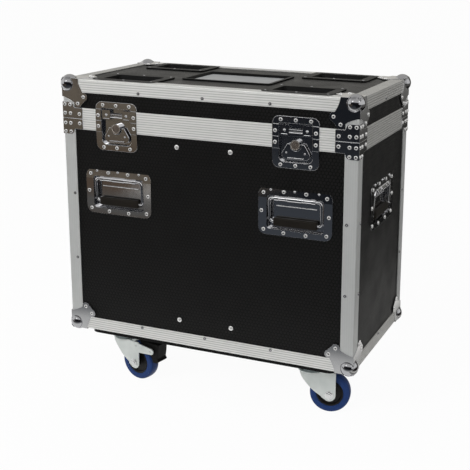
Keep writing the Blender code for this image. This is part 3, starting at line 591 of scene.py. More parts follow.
def laminateFinish():
    # dark phenolic face with a pressed honeycomb outside, its lines painted darker as shade, birch plywood
    # inside
    finish, tree, shader = newFinish("laminateOverPly")
    spots = partsOf(tree, "Object")
    normals = partsOf(tree, "Normal")
    sideways = abs(normals["X"]).above(facingLimit)
    upward = abs(normals["Z"]).above(facingLimit)
    honeycomb = useGroup(tree, hexRelief, Across=spots["Y"] * sideways + spots["X"] * (1.0 - sideways),
                         Up=spots["Y"] * upward + spots["Z"] * (1.0 - upward))
    marks = useGroup(tree, handlingMarks, Scale=0.8)
    face = mixColours(marks["Smears"], (0.0075, 0.0074, 0.0071), (0.0100, 0.0098, 0.0094))
    # the honeycomb's lines are painted near black: painted shade in the pressed grooves
    pressed = mixColours(honeycomb["Line"], face, (0.0005, 0.0005, 0.0005))
    # the outer face of every board lies past these levels
    depth, below = 0.0070, 0.0050
    beyond = (abs(spots["X"]) - (halfWidth - depth)).greater(abs(spots["Y"]) - (halfDepth - depth))
    endwise = (spots["Z"] - (case["top"] - depth)).greater(case["bottom"] + below - spots["Z"])
    outside = beyond.greater(endwise).above(0.0)
    along = addNode(tree, "Mapping", {"Vector": placeOf(tree), "Scale": (1.0, 1.0, 9.0)})
    grain = mapValue(addNoise(tree, signal(along), 9.0, 8.0, 0.6), 0.0, 1.0, *smearRange)
    birch = mixColours(grain, (0.50, 0.36, 0.22), (0.36, 0.24, 0.13))
    faceRough = mapValue(marks["Smears"], 0.36, 0.48, *smearRange)
    feedAll(shader, {"Base Color": mixColours(outside, birch, pressed), "Specular IOR Level": 0.21,
                     "Roughness": faceRough * outside + (1.0 - outside) * 0.72})
    addBump(tree, shader, honeycomb["Height"] * outside, 0.7)
    return finish


def plainFinish(name, colour, worn, roughness, bump=0.12, specular=0.5, scale=1.0, speck=260.0):
    # mouldings, rubber and paint: a fine grain, slow smears and a slightly uneven sheen
    finish, tree, shader = newFinish(name)
    marks = useGroup(tree, handlingMarks, Scale=scale)
    feedAll(shader, {"Base Color": mixColours(marks["Smears"], colour, worn),
                     "Specular IOR Level": specular, "Roughness": wornRoughness(marks, *roughness, 0.06)})
    addBump(tree, shader, addNoise(tree, placeOf(tree), speck, 3.0), bump)
    return finish


def boardFinish():
    # black painted castor board; below its underside the plates and bearings are zinc
    finish, tree, shader = newFinish("castorBoardPaint")
    underside = 0.12495
    zinc = mathNode("LESS_THAN", partsOf(tree, "Object")["Z"], underside)
    marks = useGroup(tree, handlingMarks)
    smears = marks["Smears"]
    blackPaint = mixColours(smears, (0.0035, 0.0035, 0.0035), (0.0075, 0.0073, 0.0070))
    plate = mixColours(smears, (0.56, 0.61, 0.62), (0.44, 0.49, 0.50))
    feedAll(shader, {"Base Color": mixColours(zinc, blackPaint, plate), "Metallic": zinc * 0.7,
                     "Roughness": mapValue(smears, 0.42, 0.60, *smearRange), "Specular IOR Level": 0.12})
    addBump(tree, shader, marks["Height"], 0.15)
    return finish


# clean colour, worn colour, lowest and highest roughness with the scratches' share, bump, metallic
metals = {
    "chrome": ("platedChrome", (0.80, 0.80, 0.81), (0.72, 0.72, 0.74), (0.06, 0.13, 0.05), 0.03),
    # a darker copy of the plated chrome, painted shade in the reflections of the ball domes and some rivet
    # heads
    "shadedChrome": ("shadedChrome", (0.43, 0.43, 0.44), (0.38, 0.38, 0.39), (0.08, 0.14, 0.04), 0.02),
    "rivet": ("rivetHead", (0.96, 0.95, 0.93), (0.88, 0.88, 0.87), (0.14, 0.24, 0.05), 0.05, 0.62),
    # a near black for the rivets' sunk middles, a painted shade in the hole
    "rivetHoleShade": ("rivetHoleShade", (0.006, 0.006, 0.006), (0.003, 0.003, 0.003), (0.45, 0.60, 0.05), 0.05, 0.5),
    "zinc": ("zincPlate", (0.71, 0.73, 0.70), (0.48, 0.52, 0.51), (0.32, 0.46, 0.08), 0.10, 0.55),
    "spindle": ("spindleNickel", (0.78, 0.74, 0.69), (0.62, 0.57, 0.51), (0.14, 0.24, 0.06), 0.06, 0.85),
    # a darker copy of the spindle's nickel, painted shade on its sunk face
    "spindleFaceShaded": ("spindleFaceShaded", (0.40, 0.34, 0.29), (0.20, 0.165, 0.14), (0.20, 0.34, 0.06), 0.10, 0.80),
    # a paler, less metallic chrome: a painted highlight on the handle's bead, the lower hook rod and the cup
    # rivets' middles
    "bead": ("highlightChrome", (0.80, 0.80, 0.80), (0.62, 0.62, 0.63), (0.20, 0.34, 0.06), 0.06, 0.45),
    "bolt": ("boltZinc", (0.80, 0.80, 0.79), (0.50, 0.51, 0.51), (0.12, 0.26, 0.06), 0.08, 0.9),
}
# clean colour, worn colour, lowest and highest roughness, bump, specular, and the grain's sizes
plains = {
    "blackMoulding": ("blackMoulding", [0.0045] * 3, [0.0085] * 3, (0.36, 0.48), 0.12, 0.08),
    "gripRubber": ("gripRubber", (0.0095, 0.008, 0.006), (0.016, 0.013, 0.01), (0.46, 0.62), 0.25, 0.16),
    "pedal": ("pedalBlack", [0.0036] * 3, (0.0078, 0.0074, 0.0070), (0.44, 0.60), 0.12, 0.11),
    "tyre": ("tyreBlue", (0.0075, 0.031, 0.128), (0.0115, 0.042, 0.165), (0.42, 0.58), 0.15, 0.22),
    "hub": ("hubBlack", (0.0050, 0.0048, 0.0048), (0.0105, 0.0095, 0.0090), (0.40, 0.54), 0.12, 0.20),
    "labelSheet": ("labelSheet", (0.46, 0.475, 0.48), (0.37, 0.38, 0.39), (0.34, 0.48), 0.05),
    "plywood": ("dividerPly", (0.46, 0.33, 0.20), (0.36, 0.25, 0.15), (0.60, 0.74), 0.25, 0.5, 0.6, 60.0),
}
finishes = {
    "laminate": laminateFinish(),
    "castorBoard": boardFinish(),
    # one anodised aluminium in three colours: painted light on the bars along the long faces, painted shade
    # on the end bars and the uprights
    "litExtrusionX": extrusionFinish("extrusionAcrossLit", "X", 0.50, (0.84, 0.84, 0.815)),
    "shadedExtrusionY": extrusionFinish("extrusionDeepShaded", "Y", 0.65, (0.60, 0.595, 0.57)),
    "shadedExtrusionZ": extrusionFinish("extrusionUprightShaded", "Z", 0.07, (0.60, 0.61, 0.60)),
}
for finish, looks in metals.items():
    finishes[finish] = metalFinish(*looks)
for finish, looks in plains.items():
    finishes[finish] = plainFinish(*looks)
print("finishes ready")


# the boards keep their CAD solids

for node in ("base_walls", "lid_walls", "lid_top_panel", "floor_panel"):
    paint(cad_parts[node], "laminate")
paint(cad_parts["castor_board"], "castorBoard")
print("boards done")


# rivets: one hollow domed head with the end of its pin sunk in the middle, copied everywhere

rivet = {"radius": 0.0045, "height": 0.0020, "hole": 0.0021, "sunk": 0.0014, "sides": 14, "slope": 0.18,
         "crown": 0.64, "holeEdge": 0.0002}


def buildRivet():
    # made facing up the Z axis, with its foot on the origin
    radius, low = rivet["radius"], rivet["height"] / 2
    head = addDisc("rivetPattern", radius, low, (0, 0, low / 2), rivet["sides"])

    def middleTop(centre, normal):
        return normal.z > 0.9 and centre.z > low - tiny and math.hypot(centre.x, centre.y) < tiny

    rise = rivet["height"] - low
    slope, crown = radius * rivet["slope"], radius * rivet["crown"]
    # two rising steps of the dome, a slight dip to the hole's rim, and the hole
    for width, depth in ((slope, rise * 0.70), (slope, rise * 0.30), (crown - rivet["hole"], -rise * 0.10),
                         (rivet["holeEdge"], -rivet["sunk"])):
        insetFaces(head, middleTop, width, depth)
    smooth(head, 50, False)
    paint(head, "rivet")
    # the sunk end of the pin is painted near black, a painted shade in the hole
    paintPart(head, "rivetHoleShade", lambda c, n: n.z > 0.9 and math.hypot(c.x, c.y) < tiny and c.z > 0)
    return head


rivetPattern = buildRivet()


def setRivets(name, spots, body, scale=1.0, head="rivet", pin="rivetHoleShade"):
    # spots are a place and a matrix that turns +Z outwards
    heads = []
    for index, (spot, facing) in enumerate(spots):
        place = Matrix.Translation(spot) @ facing @ Matrix.Scale(scale, 4)
        heads.append(copyTo(rivetPattern, f"{name}_{index}", place))
    joined = joinPieces(name, heads)
    joined.data.materials[0] = finishes[head]
    joined.data.materials[1] = finishes[pin]
    dress(joined, None, body)


def onFace(turn, across, level, out=0.0):
    return (faceSpot(turn, across, level, out), faceMatrix(turn))


def cornerRivets(sideX, sideY, across, level, out):
    # one on the long face and one on the end, both as far in from the corner
    return [onFace(0 if sideY < 0 else 180, sideX * (halfWidth - across), level, out),
            onFace(90 * sideX, sideY * (halfDepth - across), level, out)]


def localRivets(turn, spot, places):
    matrix = turned(turn, spot)
    return [(tuple(matrix @ Vector(place)), faceMatrix(turn)) for place in places]


# aluminium edge extrusions

edging = {"flange": 0.032, "round": 0.0022, "edge": 0.0003, "closure": 0.0265, "cap": 0.003,
          "lidCap": 0.0065, "leg": 0.016, "innerFace": 0.0114, "innerEdge": 0.0129,
          "tongue": (0.0045, 0.0085), "tongueHeight": 0.004}
lengthwise = Matrix(((0, 0, -1, 0), (0, 1, 0, 0), (1, 0, 0, 0), (0, 0, 0, 1)))   # turns X up


def barSize(turn, cut):
    # the bars along the long faces go right through, and those on the ends stop short of them
    # the long bars take the lighter aluminium, painted light, and the end bars the darker, painted shade
    if turn in (90, -90):
        return case["depth"] - 2 * cut, "shadedExtrusionY"
    return case["width"], "litExtrusionX"


def addEdgeBar(name, length, matrix, finish, body, node=None):
    # a plain angle whose outer corner is softer than its cut edges
    flange = edging["flange"]
    bar = addBlock(name, (-length / 2, 0, -flange), (length / 2, skin, 0))
    cutAcross(bar, (0, 0, -skin), (0, 0, 1))
    pull(bar, lambda c, n: n.y > 0.9 and c.z > -skin, (0, flange - skin, 0))
    faceOut(bar)
    near = 0.0006
    selectEdges(bar, lambda a, b: max(abs(a.y), abs(a.z), abs(b.y), abs(b.z)) < near < abs(a.x - b.x))
    bpy.ops.mesh.bevel(offset=edging["round"], segments=4, affect="EDGES")
    leaveEdit()
    smooth(bar)
    putAt(bar, matrix)
    dress(bar, finish, body, node)


for label, level, up, body in (("top", case["top"], 1, "lid"), ("bottom", case["bottom"], -1, "base")):
    for face, turn in allTurns:
        length, finish = barSize(turn, edging["flange"])
        node = f"{body}_edge_frame" if face == "front" else None
        addEdgeBar(f"{label}Edge_{face}", length, barMatrix(turn, level, up), finish, body, node)
lidLow = case["seam"] + gap + edging["closure"] + gap
baseHigh = case["seam"] - edging["closure"] - gap
for body, low, high in (("base", case["bottom"] + edging["flange"], baseHigh),
                        ("lid", lidLow, case["top"] - edging["flange"])):
    for corner, sideX, sideY in corners:
        place = cornerMatrix(sideX, sideY, (low + high) / 2) @ lengthwise
        # the uprights take the darker aluminium, a painted shade
        addEdgeBar(f"{body}Upright_{corner}", high - low, place, "shadedExtrusionZ", body)
print("edge extrusions done")


# closure extrusions: a tongue on the base and a groove in the lid

latchCut = {"across": 0.233, "half": 0.0420, "depth": 0.0100, "out": 0.01, "reach": 0.05}


def addClosureBar(name, length, finish, up, body, turn):
    # the base's bar is built as it stands, and the lid's is turned over
    lid = up > 0
    bar = addBlock(name, (-length / 2, 0, -edging["closure"]), (length / 2, skin, 0))
    cap = edging["lidCap"] if lid else edging["cap"]
    cutAcross(bar, (0, 0, -cap), (0, 0, 1))
    for depth in (edging["innerFace"] - skin, edging["innerEdge"] - edging["innerFace"]):
        pull(bar, lambda c, n: n.y > 0.9 and c.z > -cap, (0, depth, 0))
    pull(bar, lambda c, n: n.z < -0.9 and c.y > edging["innerFace"], (0, 0, cap - edging["leg"]))
    start, end = edging["tongue"]
    for place in (start, end):
        cutAcross(bar, (0, place, 0), (0, 1, 0))
    lift = -edging["tongueHeight"] - gap if lid else edging["tongueHeight"]
    pull(bar, lambda c, n: n.z > 0.9 and start < c.y < end and c.z > -tiny, (0, 0, lift))
    faceOut(bar)
    soften(bar, edging["edge"], 1)
    level = case["seam"] + gap if lid else case["seam"]
    putAt(bar, barMatrix(turn, level, -up))
    if turn in (0, 180):
        for _, sign in sides:
            x = sign * latchCut["across"]
            low, high = sorted((faceSpot(turn, x, level, latchCut["out"])[1],
                                faceSpot(turn, x, level, -latchCut["depth"])[1]))
            carve(bar, addBlock("latchCut", (x - latchCut["half"], low, level - latchCut["reach"]),
                                (x + latchCut["half"], high, level + latchCut["reach"])))
    dress(bar, finish, body, f"{body}_closure_frame" if turn == 0 else None)


for body, up in (("base", -1), ("lid", 1)):
    for face, turn in allTurns:
        addClosureBar(f"{body}Closure_{face}", *barSize(turn, edging["innerEdge"]), up, body, turn)
print("closure extrusions done")


# closure corner braces

brace = {"thickness": 0.0015, "reach": 0.055, "narrow": 0.030, "height": 0.040, "round": 0.010,
         "small": 0.003, "rim": 0.0010,
         "rivets": ((0.0464, 0.0115), (0.0207, 0.012), (0.0207, 0.0335), (0.0056, 0.012), (0.0056, 0.0335))}


def buildBrace(up):
    # one flank along X with its corner at the origin, standing proud of the face at Y = 0
    proud = -gap - brace["thickness"]
    band = edging["closure"]
    rim, step = brace["round"], brace["small"]
    points = [(proud, 0), (brace["reach"], 0)]
    points += arcPoints((brace["reach"] - step, band - step), step, 0, 90, 4)
    points += [(brace["narrow"] + step, band)]
    points += arcPoints((brace["narrow"] - rim, brace["height"] - rim), rim, 0, 90, 6)
    points += [(proud, brace["height"])]
    flank = cutPlate("braceFlank", [(a, -gap, up * b) for a, b in points], (0, -brace["thickness"], 0))
    swapXY = Matrix(((0, 1, 0, 0), (1, 0, 0, 0), (0, 0, 1, 0), (0, 0, 0, 1)))
    weld(flank, copyTo(flank, "braceOther", swapXY))
    faceOut(flank)
    roundRims(flank, onPlanes((0, proud), (1, proud)), brace["rim"])
    smooth(flank)
    return flank


for body, up in (("base", -1), ("lid", 1)):
    pattern = buildBrace(up)
    level = case["seam"] if up < 0 else case["seam"] + gap
    for corner, sideX, sideY in corners:
        piece = copyTo(pattern, f"{body}Brace_{corner}", cornerMatrix(sideX, sideY, level))
        dress(piece, "chrome", body)
        spots = []
        for across, height in brace["rivets"]:
            spots += cornerRivets(sideX, sideY, across, level + up * height, gap + brace["thickness"])
        setRivets(f"{body}BraceRivets_{corner}", spots, body)
    dropPieces(pattern)
print("braces done")


# ball corners

ball = {"radius": 0.0219, "inset": 0.0125, "thickness": 0.0014, "neck": 0.044, "far": 0.0595, "near": 0.0428,
        "lobe": 0.0103, "lobeStart": -100, "skirt": 0.0013, "tipCut": 0.006, "rim": 0.0010,
        "turns": {"front_left": 0, "front_right": 90, "rear_right": 180, "rear_left": 270}}
ballOut = gap + ball["thickness"]


def padOutline():
    neck, far, near, lobe = (ball[size] for size in ("neck", "far", "near", "lobe"))
    angle = math.radians(ball["lobeStart"])
    out = (far + lobe * math.cos(angle), near + lobe * math.sin(angle))
    # the bite between neck and lobe is a curve through the bow point
    half = [(ball["tipCut"] - ballOut, -ballOut), (neck, -ballOut)]
    bow = ((neck + out[0]) / 2 - lobe / 4, out[1] / 2 + lobe / 4)
    for step in range(1, 8):
        t = step / 8
        half.append(((1 - t) ** 2 * neck + 2 * t * (1 - t) * bow[0] + t * t * out[0],
                     2 * t * (1 - t) * bow[1] + t * t * out[1]))
    half += arcPoints((far, near), lobe, ball["lobeStart"], 70, 8)
    return half + [(b, a) for a, b in reversed(half)]


def buildBallCorner():
    outer, inset, thickness = -ballOut, ball["inset"], ball["thickness"]
    outline = padOutline()
    pads = cutPlate("padFront", [(a, -gap, -b) for a, b in outline], (0, -thickness, 0))
    weld(pads, cutPlate("padSide", [(-gap, a, -b) for a, b in outline], (-thickness, 0, 0)))
    weld(pads, cutPlate("padTop", [(a, b, gap) for a, b in outline], (0, 0, thickness)))
    faceOut(pads)
    roundRims(pads, onPlanes((0, outer), (1, outer), (2, -outer)), ball["rim"])
    paint(pads, "chrome")
    dome = addBall("ballDome", ball["radius"], (inset, inset, -inset), 40, 24)
    # only the part outside the case is kept
    carve(dome, addBlock("inside", (0, 0, -0.08), (0.08, 0.08, 0)))
    pieces = [dome]
    # a thin rolled skirt where the dome leaves each pad
    radius = math.sqrt(ball["radius"] ** 2 - (inset - outer) ** 2)
    for axis, spot, turn in (("Y", (inset, outer, -inset), (90, 0, 0)),
                             ("X", (outer, inset, -inset), (0, 90, 0)),
                             ("Z", (inset, inset, -outer), (0, 0, 0))):
        clearSelection()
        bpy.ops.mesh.primitive_torus_add(major_radius=radius, minor_radius=ball["skirt"], major_segments=40,
                                         minor_segments=8, location=spot,
                                         rotation=[math.radians(angle) for angle in turn])
        skirt = settle(f"skirt{axis}")
        # the skirt ends where the next pad's begins
        for other, beyond in (("Y", (0, -1, 0)), ("X", (-1, 0, 0)), ("Z", (0, 0, 1))):
            if other != axis:
                cutAcross(skirt, (outer, outer, -outer), beyond, True)
        pieces.append(skirt)
    # dome and skirts take the darker chrome, a painted shade in their reflections
    for piece in pieces:
        paint(piece, "shadedChrome")
    corner = joinPieces("ballCornerPattern", [pads] + pieces)
    smooth(corner)
    return corner


ballPattern = buildBallCorner()
for corner, sideX, sideY in corners:
    for body, level, up in (("lid", case["top"], 1), ("base", case["bottom"], -1)):
        spot = (sideX * halfWidth, sideY * halfDepth, level)
        turn = ball["turns"][corner]
        matrix = turned(turn, spot) if up > 0 else turned(turn + 90, spot) @ upsideDown
        piece = copyTo(ballPattern, f"{body}Ball_{corner}", matrix)
        dress(piece, None, body, f"{body}_ball_{corner}")
        spots = []
        for a, b in ((ball["far"], ball["near"]), (ball["near"], ball["far"])):
            spots += cornerRivets(sideX, sideY, a, level - up * b, ballOut)
            flat = (sideX * (halfWidth - a), sideY * (halfDepth - b), level + up * ballOut)
            spots.append((flat, asMade if up > 0 else upsideDown))
        setRivets(f"{body}BallRivets_{corner}", spots, body)
dropPieces(ballPattern)
print("ball corners done")


# butterfly latches

latch = {"flapDepth": 0.002, "flapThick": 0.0025, "plate": 0.0014, "rim": 0.0010, "edge": 0.0006,
         "edgeRivets": (-0.0365, 0, 0.0365), "bandRivets": (-0.0492, 0.0492),
         "dishRows": (-0.0652, -0.0135), "keeperRows": (0.0388, 0.0130)}
spindle = {"drop": 0.0177, "radius": 0.0118, "depth": 0.0012, "middle": -0.0031, "rim": 0.0022,
           "collar": 0.0004, "sunk": 0.0007, "core": 0.0005, "face": 0.0092, "faceFront": -0.0036,
           "edge": 0.00025, "slotHalf": 0.0064, "slotWide": 0.0012, "slotFront": -0.006,
           "slotFloor": -0.0028, "slotTurn": 12}
flapTrim = {"barLow": (-0.020, -0.0012, -0.0495), "barHigh": (0.020, 0.0010, -0.0473), "round": 0.0008,
            "dimple": 0.0024, "dimpleAt": (0.0225, 0.0012, -0.0365)}
keeperTrim = {"across": 0.0275, "nub": 0.0036, "nubOut": 0.0016, "nubRise": 0.0150, "stripHalf": 0.008,
              "stripBack": -0.0004, "strip": (0.0045, 0.0068), "round": 0.0009,
              "rodHalf": 0.0165, "rodOut": 0.0024,
              "rods": ((0.0012, 0.0095, "bead"), (0.0009, 0.0165, "chrome"))}
latchPlaces = [(f"{face}_{side}", turn, faceSpot(turn, sign * latchCut["across"], case["seam"]))
               for face, turn in faceTurns for side, sign in sides]


def buildSpindle():
    # a slotted round key seat with a raised collar, on the hinge line
    drop, half, wide = spindle["drop"], spindle["slotHalf"], spindle["slotWide"]
    place = (0, spindle["middle"], -drop)
    disc = addDisc("spindlePattern", spindle["radius"], spindle["depth"], place, 40, 90)

    def nearAxis(centre, reach):
        return math.hypot(centre.x, centre.z + drop) < reach

    insetFaces(disc, lambda c, n: n.y < -0.9, spindle["rim"])
    insetFaces(disc, lambda c, n: n.y < -0.9 and nearAxis(c, spindle["core"]),
               spindle["collar"], -spindle["sunk"])
    for angle in (0, 90):
        slot = addBlock("keySlot", (-half, spindle["slotFront"], -wide), (half, spindle["slotFloor"], wide))
        turn = Matrix.Rotation(math.radians(angle + spindle["slotTurn"]), 4, "Y")
        slot.data.transform(Matrix.Translation((0, 0, -drop)) @ turn)
        carve(disc, slot)
    soften(disc, spindle["edge"])
    paint(disc, "spindle")
    # the sunk face inside the collar is a darker brown nickel, a painted shade
    paintPart(disc, "spindleFaceShaded",
              lambda c, n: nearAxis(c, spindle["face"]) and c.y > spindle["faceFront"] and n.y < -0.5)
    return disc


def buildFlapTrim():
    # two dimples and the grip bar pressed along the bottom of the flap
    bar = addBlock("flapTrim", flapTrim["barLow"], flapTrim["barHigh"])
    roundEdges(bar, flapTrim["round"], 3)
    x, y, z = flapTrim["dimpleAt"]
    dimples = [addBall("dimple", flapTrim["dimple"], (sign * x, y, z)) for sign in (-1, 1)]
    trim = joinPieces("flapTrimPattern", [bar] + dimples)
    smooth(trim)
    return trim


def buildKeeperTrim():
    # nubs on the two bumps and the rolled front of the hook bar
    out, half, (low, high) = keeperTrim["nubOut"], keeperTrim["stripHalf"], keeperTrim["strip"]
    pieces = []
    for sign in (-1, 1):
        middle = sign * keeperTrim["across"]
        pieces.append(addBall("nub", keeperTrim["nub"], (middle, out, keeperTrim["nubRise"])))
        strip = addBlock("nubStrip", (middle - half, keeperTrim["stripBack"], low),
                         (middle + half, out, high))
        roundEdges(strip, keeperTrim["round"])
        pieces.append(strip)
    for piece in pieces:
        paint(piece, "chrome")
    reach, y = keeperTrim["rodHalf"], keeperTrim["rodOut"]
    # the lower rod is painted pale, a painted highlight along it
    for radius, rise, finish in keeperTrim["rods"]:
        rod = addRod("hookRod", radius, (-reach, y, rise), (reach, y, rise), 20)
        paint(rod, finish)
        pieces.append(rod)
    trim = joinPieces("keeperTrimPattern", pieces)
    smooth(trim)
    return trim


plateOut = skin - latch["plate"]
bandOut = -gap - latch["plate"]


def buildLatchPiece(part):
    # the first latch's solid gives the pattern; its rims are rounded as a pressing's are
    name, turn, spot = latchPlaces[0]
    piece = carryOver(f"latch_{part}_{name}", f"latch{part.capitalize()}Pattern", turned(turn, spot))
    fronts = (latch["flapDepth"] - latch["flapThick"] / 2,) if part == "flap" else (plateOut, bandOut)
    roundRims(piece, onPlanes(*((1, front) for front in fronts)), latch["rim"])
    soften(piece, latch["edge"])
    return piece


def latchRivets(edge, band):
    # three along the outer edge, and one at each side of the closure band
    return ([(across, plateOut, edge) for across in latch["edgeRivets"]]
            + [(across, bandOut, band) for across in latch["bandRivets"]])


spindlePattern = buildSpindle()
flapTrimPattern = buildFlapTrim()
keeperTrimPattern = buildKeeperTrim()
latchPatterns = {part: buildLatchPiece(part) for part in ("dish", "keeper", "flap")}
for name, turn, spot in latchPlaces:
    matrix = turned(turn, spot)
    bodies = {"dish": "base", "keeper": "lid", "flap": f"latch_flap_{name}"}
    for part, body in bodies.items():
        piece = copyTo(latchPatterns[part], f"latch{part.capitalize()}_{name}", matrix)
        dress(piece, "chrome", body, f"latch_{part}_{name}")
    dress(copyTo(spindlePattern, f"latchSpindle_{name}", matrix), None, "base")
    dress(copyTo(flapTrimPattern, f"latchFlapTrim_{name}", matrix), "chrome", bodies["flap"])
    dress(copyTo(keeperTrimPattern, f"latchKeeperTrim_{name}", matrix), None, "lid")
    for label, rows, body in (("Dish", "dishRows", "base"), ("Keeper", "keeperRows", "lid")):
        rivets = localRivets(turn, spot, latchRivets(*latch[rows]))
        setRivets(f"latch{label}Rivets_{name}", rivets, body)
dropPieces(spindlePattern, flapTrimPattern, keeperTrimPattern, *latchPatterns.values())
print("latches done")


# recessed handles

handle = {"across": 0.233, "rise": 0.370, "hinge": 0.03225, "depth": 0.002, "wire": 0.0036, "half": 0.064,
          "drop": 0.057, "bend": 0.008,
          "grip": (0.109, 0.020, 0.013), "gripRound": 0.0042, "gripDepth": 0.0058,
          "gripCuts": (-0.45, -0.30, -0.15, 0.0, 0.15, 0.30, 0.45), "hollow": 0.004,
          "sleeves": ((-0.018, 0.018, 0.0064), (-0.0505, -0.040, 0.0062), (0.040, 0.0505, 0.0062),
                      (-0.0240, -0.0205, 0.0058), (0.0205, 0.0240, 0.0058)),
          "bumps": (-0.060, -0.001, 0.058), "bump": 0.0034, "bumpOut": 0.0022, "bumpRise": 0.0515,
          "bead": 0.0009, "beadHalf": 0.050, "beadDepth": 0.0115, "beadRise": 0.0120, "sleeveRound": 0.0012,
          "crease": 0.0318, "lean": 4.0, "plate": 0.0012, "rim": 0.0011, "hollowRim": 0.0010,
          "ridgeHalf": 0.0560, "ridgeLow": -0.0300, "ridgeHigh": 0.0330,
          "rivets": ((0.0778, 0.0436), (0.0275, 0.0486), (0.0778, -0.0445), (0.0275, -0.0490), (0.0830, 0.0))}
handlePlateOut = skin - handle["plate"]
handleLevel = case["bottom"] + handle["rise"]
handlePlaces = [(f"{face}_{side}", turn, faceSpot(turn, sign * handle["across"], handleLevel))
                for face, turn in faceTurns for side, sign in sides]
handlePlaces += [(f"{side}_end", 90 * sign, faceSpot(90 * sign, 0, handleLevel)) for side, sign in sides]


def buildBailWire():
    # the loop is traced, turned into a curve for its round section and back into a mesh
    bend, hinge, depth = handle["bend"], handle["hinge"], handle["depth"]
    inner = handle["half"] - bend
    low, high = hinge - handle["drop"] + bend, hinge - bend
    flat = []
    for x, z, angle in ((inner, high, 90), (inner, low, 0), (-inner, low, -90), (-inner, high, 180)):
        flat += arcPoints((x, z), bend, angle, angle - 90, 6)
    lean = (handle["gripDepth"] - depth) / handle["drop"]
    pick(traceOutline("bailWirePattern", [(a, depth + (hinge - b) * lean, b) for a, b in flat], False))
    bpy.ops.object.convert(target="CURVE")
    loop = bpy.context.object
    loop.data.bevel_depth = handle["wire"]
    loop.data.bevel_resolution = 5
    bpy.ops.object.convert(target="MESH")
    smooth(bpy.context.object, 60)
    return bpy.context.object


def buildGrip():
    length, tall, thick = handle["grip"]
    middle = handle["hinge"] - handle["drop"]
    grip = addBlock("gripPattern", (-length / 2, handle["gripDepth"] - thick / 2, middle - tall / 2),
                    (length / 2, handle["gripDepth"] + thick / 2, middle + tall / 2))
    for place in handle["gripCuts"]:
        cutAcross(grip, (place * length, 0, 0), (1, 0, 0))
    roundEdges(grip, handle["gripRound"], 4)
    smooth(grip, 50)
    return grip


def buildBarrel():
    # the hinge tube's centre sleeve and the collars beside it
    y, z = handle["depth"], handle["hinge"]
    pieces = [addRod("sleeve", radius, (start, y, z), (end, y, z))
              for start, end, radius in handle["sleeves"]]
    for sleeve in pieces:
        roundEdges(sleeve, handle["sleeveRound"], 3)
    barrel = joinPieces("barrelPattern", pieces)
    smooth(barrel)
    return barrel


def buildHandleTrim():
    # three pressed bumps above the barrel, and a bead on the back of the hollow
    pieces = [addBall("pressedBump", handle["bump"], (across, handle["bumpOut"], handle["bumpRise"]))
              for across in handle["bumps"]]
    for piece in pieces:
        paint(piece, "chrome")
    half, y, z = handle["beadHalf"], handle["beadDepth"], handle["beadRise"]
    bead = addRod("backBead", handle["bead"], (-half, y, z), (half, y, z), 16)
    # the bead is painted pale, a painted highlight along it
    paint(bead, "bead")
    trim = joinPieces("handleTrimPattern", pieces + [bead])
    smooth(trim)
    return trim


def buildHandlePlate():
    # the strip above the barrel leans back from a crease
    name, turn, spot = handlePlaces[0]
    crease = handle["crease"]
    piece = carryOver(f"handle_plate_{name}", "handlePlatePattern", turned(turn, spot))
    cutAcross(piece, (0, 0, crease), (0, 0, 1))
    selectFaces(piece, lambda c, n: c.z > crease and c.y < skin + 0.0003)
    bpy.ops.transform.rotate(value=math.radians(handle["lean"]), orient_axis="X",
                             center_override=(0, handlePlateOut, crease))
    leaveEdit()
    slope = math.tan(math.radians(handle["lean"]))

    def onFront(*ends):
        # the front face, also where it leans back
        return all(abs(end.y - handlePlateOut - max(0, end.z - crease) * slope) < tiny for end in ends)

    def inHollow(*ends):
        # the corners of the hollow, but not its pressed ridge
        half, low, high = handle["ridgeHalf"], handle["ridgeLow"], handle["ridgeHigh"]
        return all(end.y > handle["hollow"] and (abs(end.x) > half or not low <= end.z <= high)
                   for end in ends)

    roundRims(piece, onFront, handle["rim"])
    roundRims(piece, inHollow, handle["hollowRim"])
    smooth(piece, crease=lambda a, b: abs(a.z - crease) < tiny > abs(b.z - crease))
    return piece


wirePattern = buildBailWire()
gripPattern = buildGrip()
barrelPattern = buildBarrel()
handleTrimPattern = buildHandleTrim()
platePattern = buildHandlePlate()
handleRivets = [(sign * across, handlePlateOut, rise)
                for across, rise in handle["rivets"] for sign in (-1, 1)]
for name, turn, spot in handlePlaces:
    body = f"handle_bail_{name}"
    for pattern, label, finish, slot, carrier, node in (
            (platePattern, "handlePlate", "chrome", "chrome", "base", f"handle_plate_{name}"),
            (wirePattern, "bailWire", "chrome", "bail", body, body),
            (gripPattern, "bailGrip", "gripRubber", "bail", body, None),
            (barrelPattern, "hingeBarrel", "chrome", "chrome", "base", None),
            (handleTrimPattern, "handleBumps", None, "chrome", "base", None)):
        dress(copyTo(pattern, f"{label}_{name}", turned(turn, spot)), finish, carrier, node)
    setRivets(f"handleRivets_{name}", localRivets(turn, spot, handleRivets), "base")
dropPieces(wirePattern, gripPattern, barrelPattern, handleTrimPattern, platePattern)
print("handles done")


# rivets along the extrusions

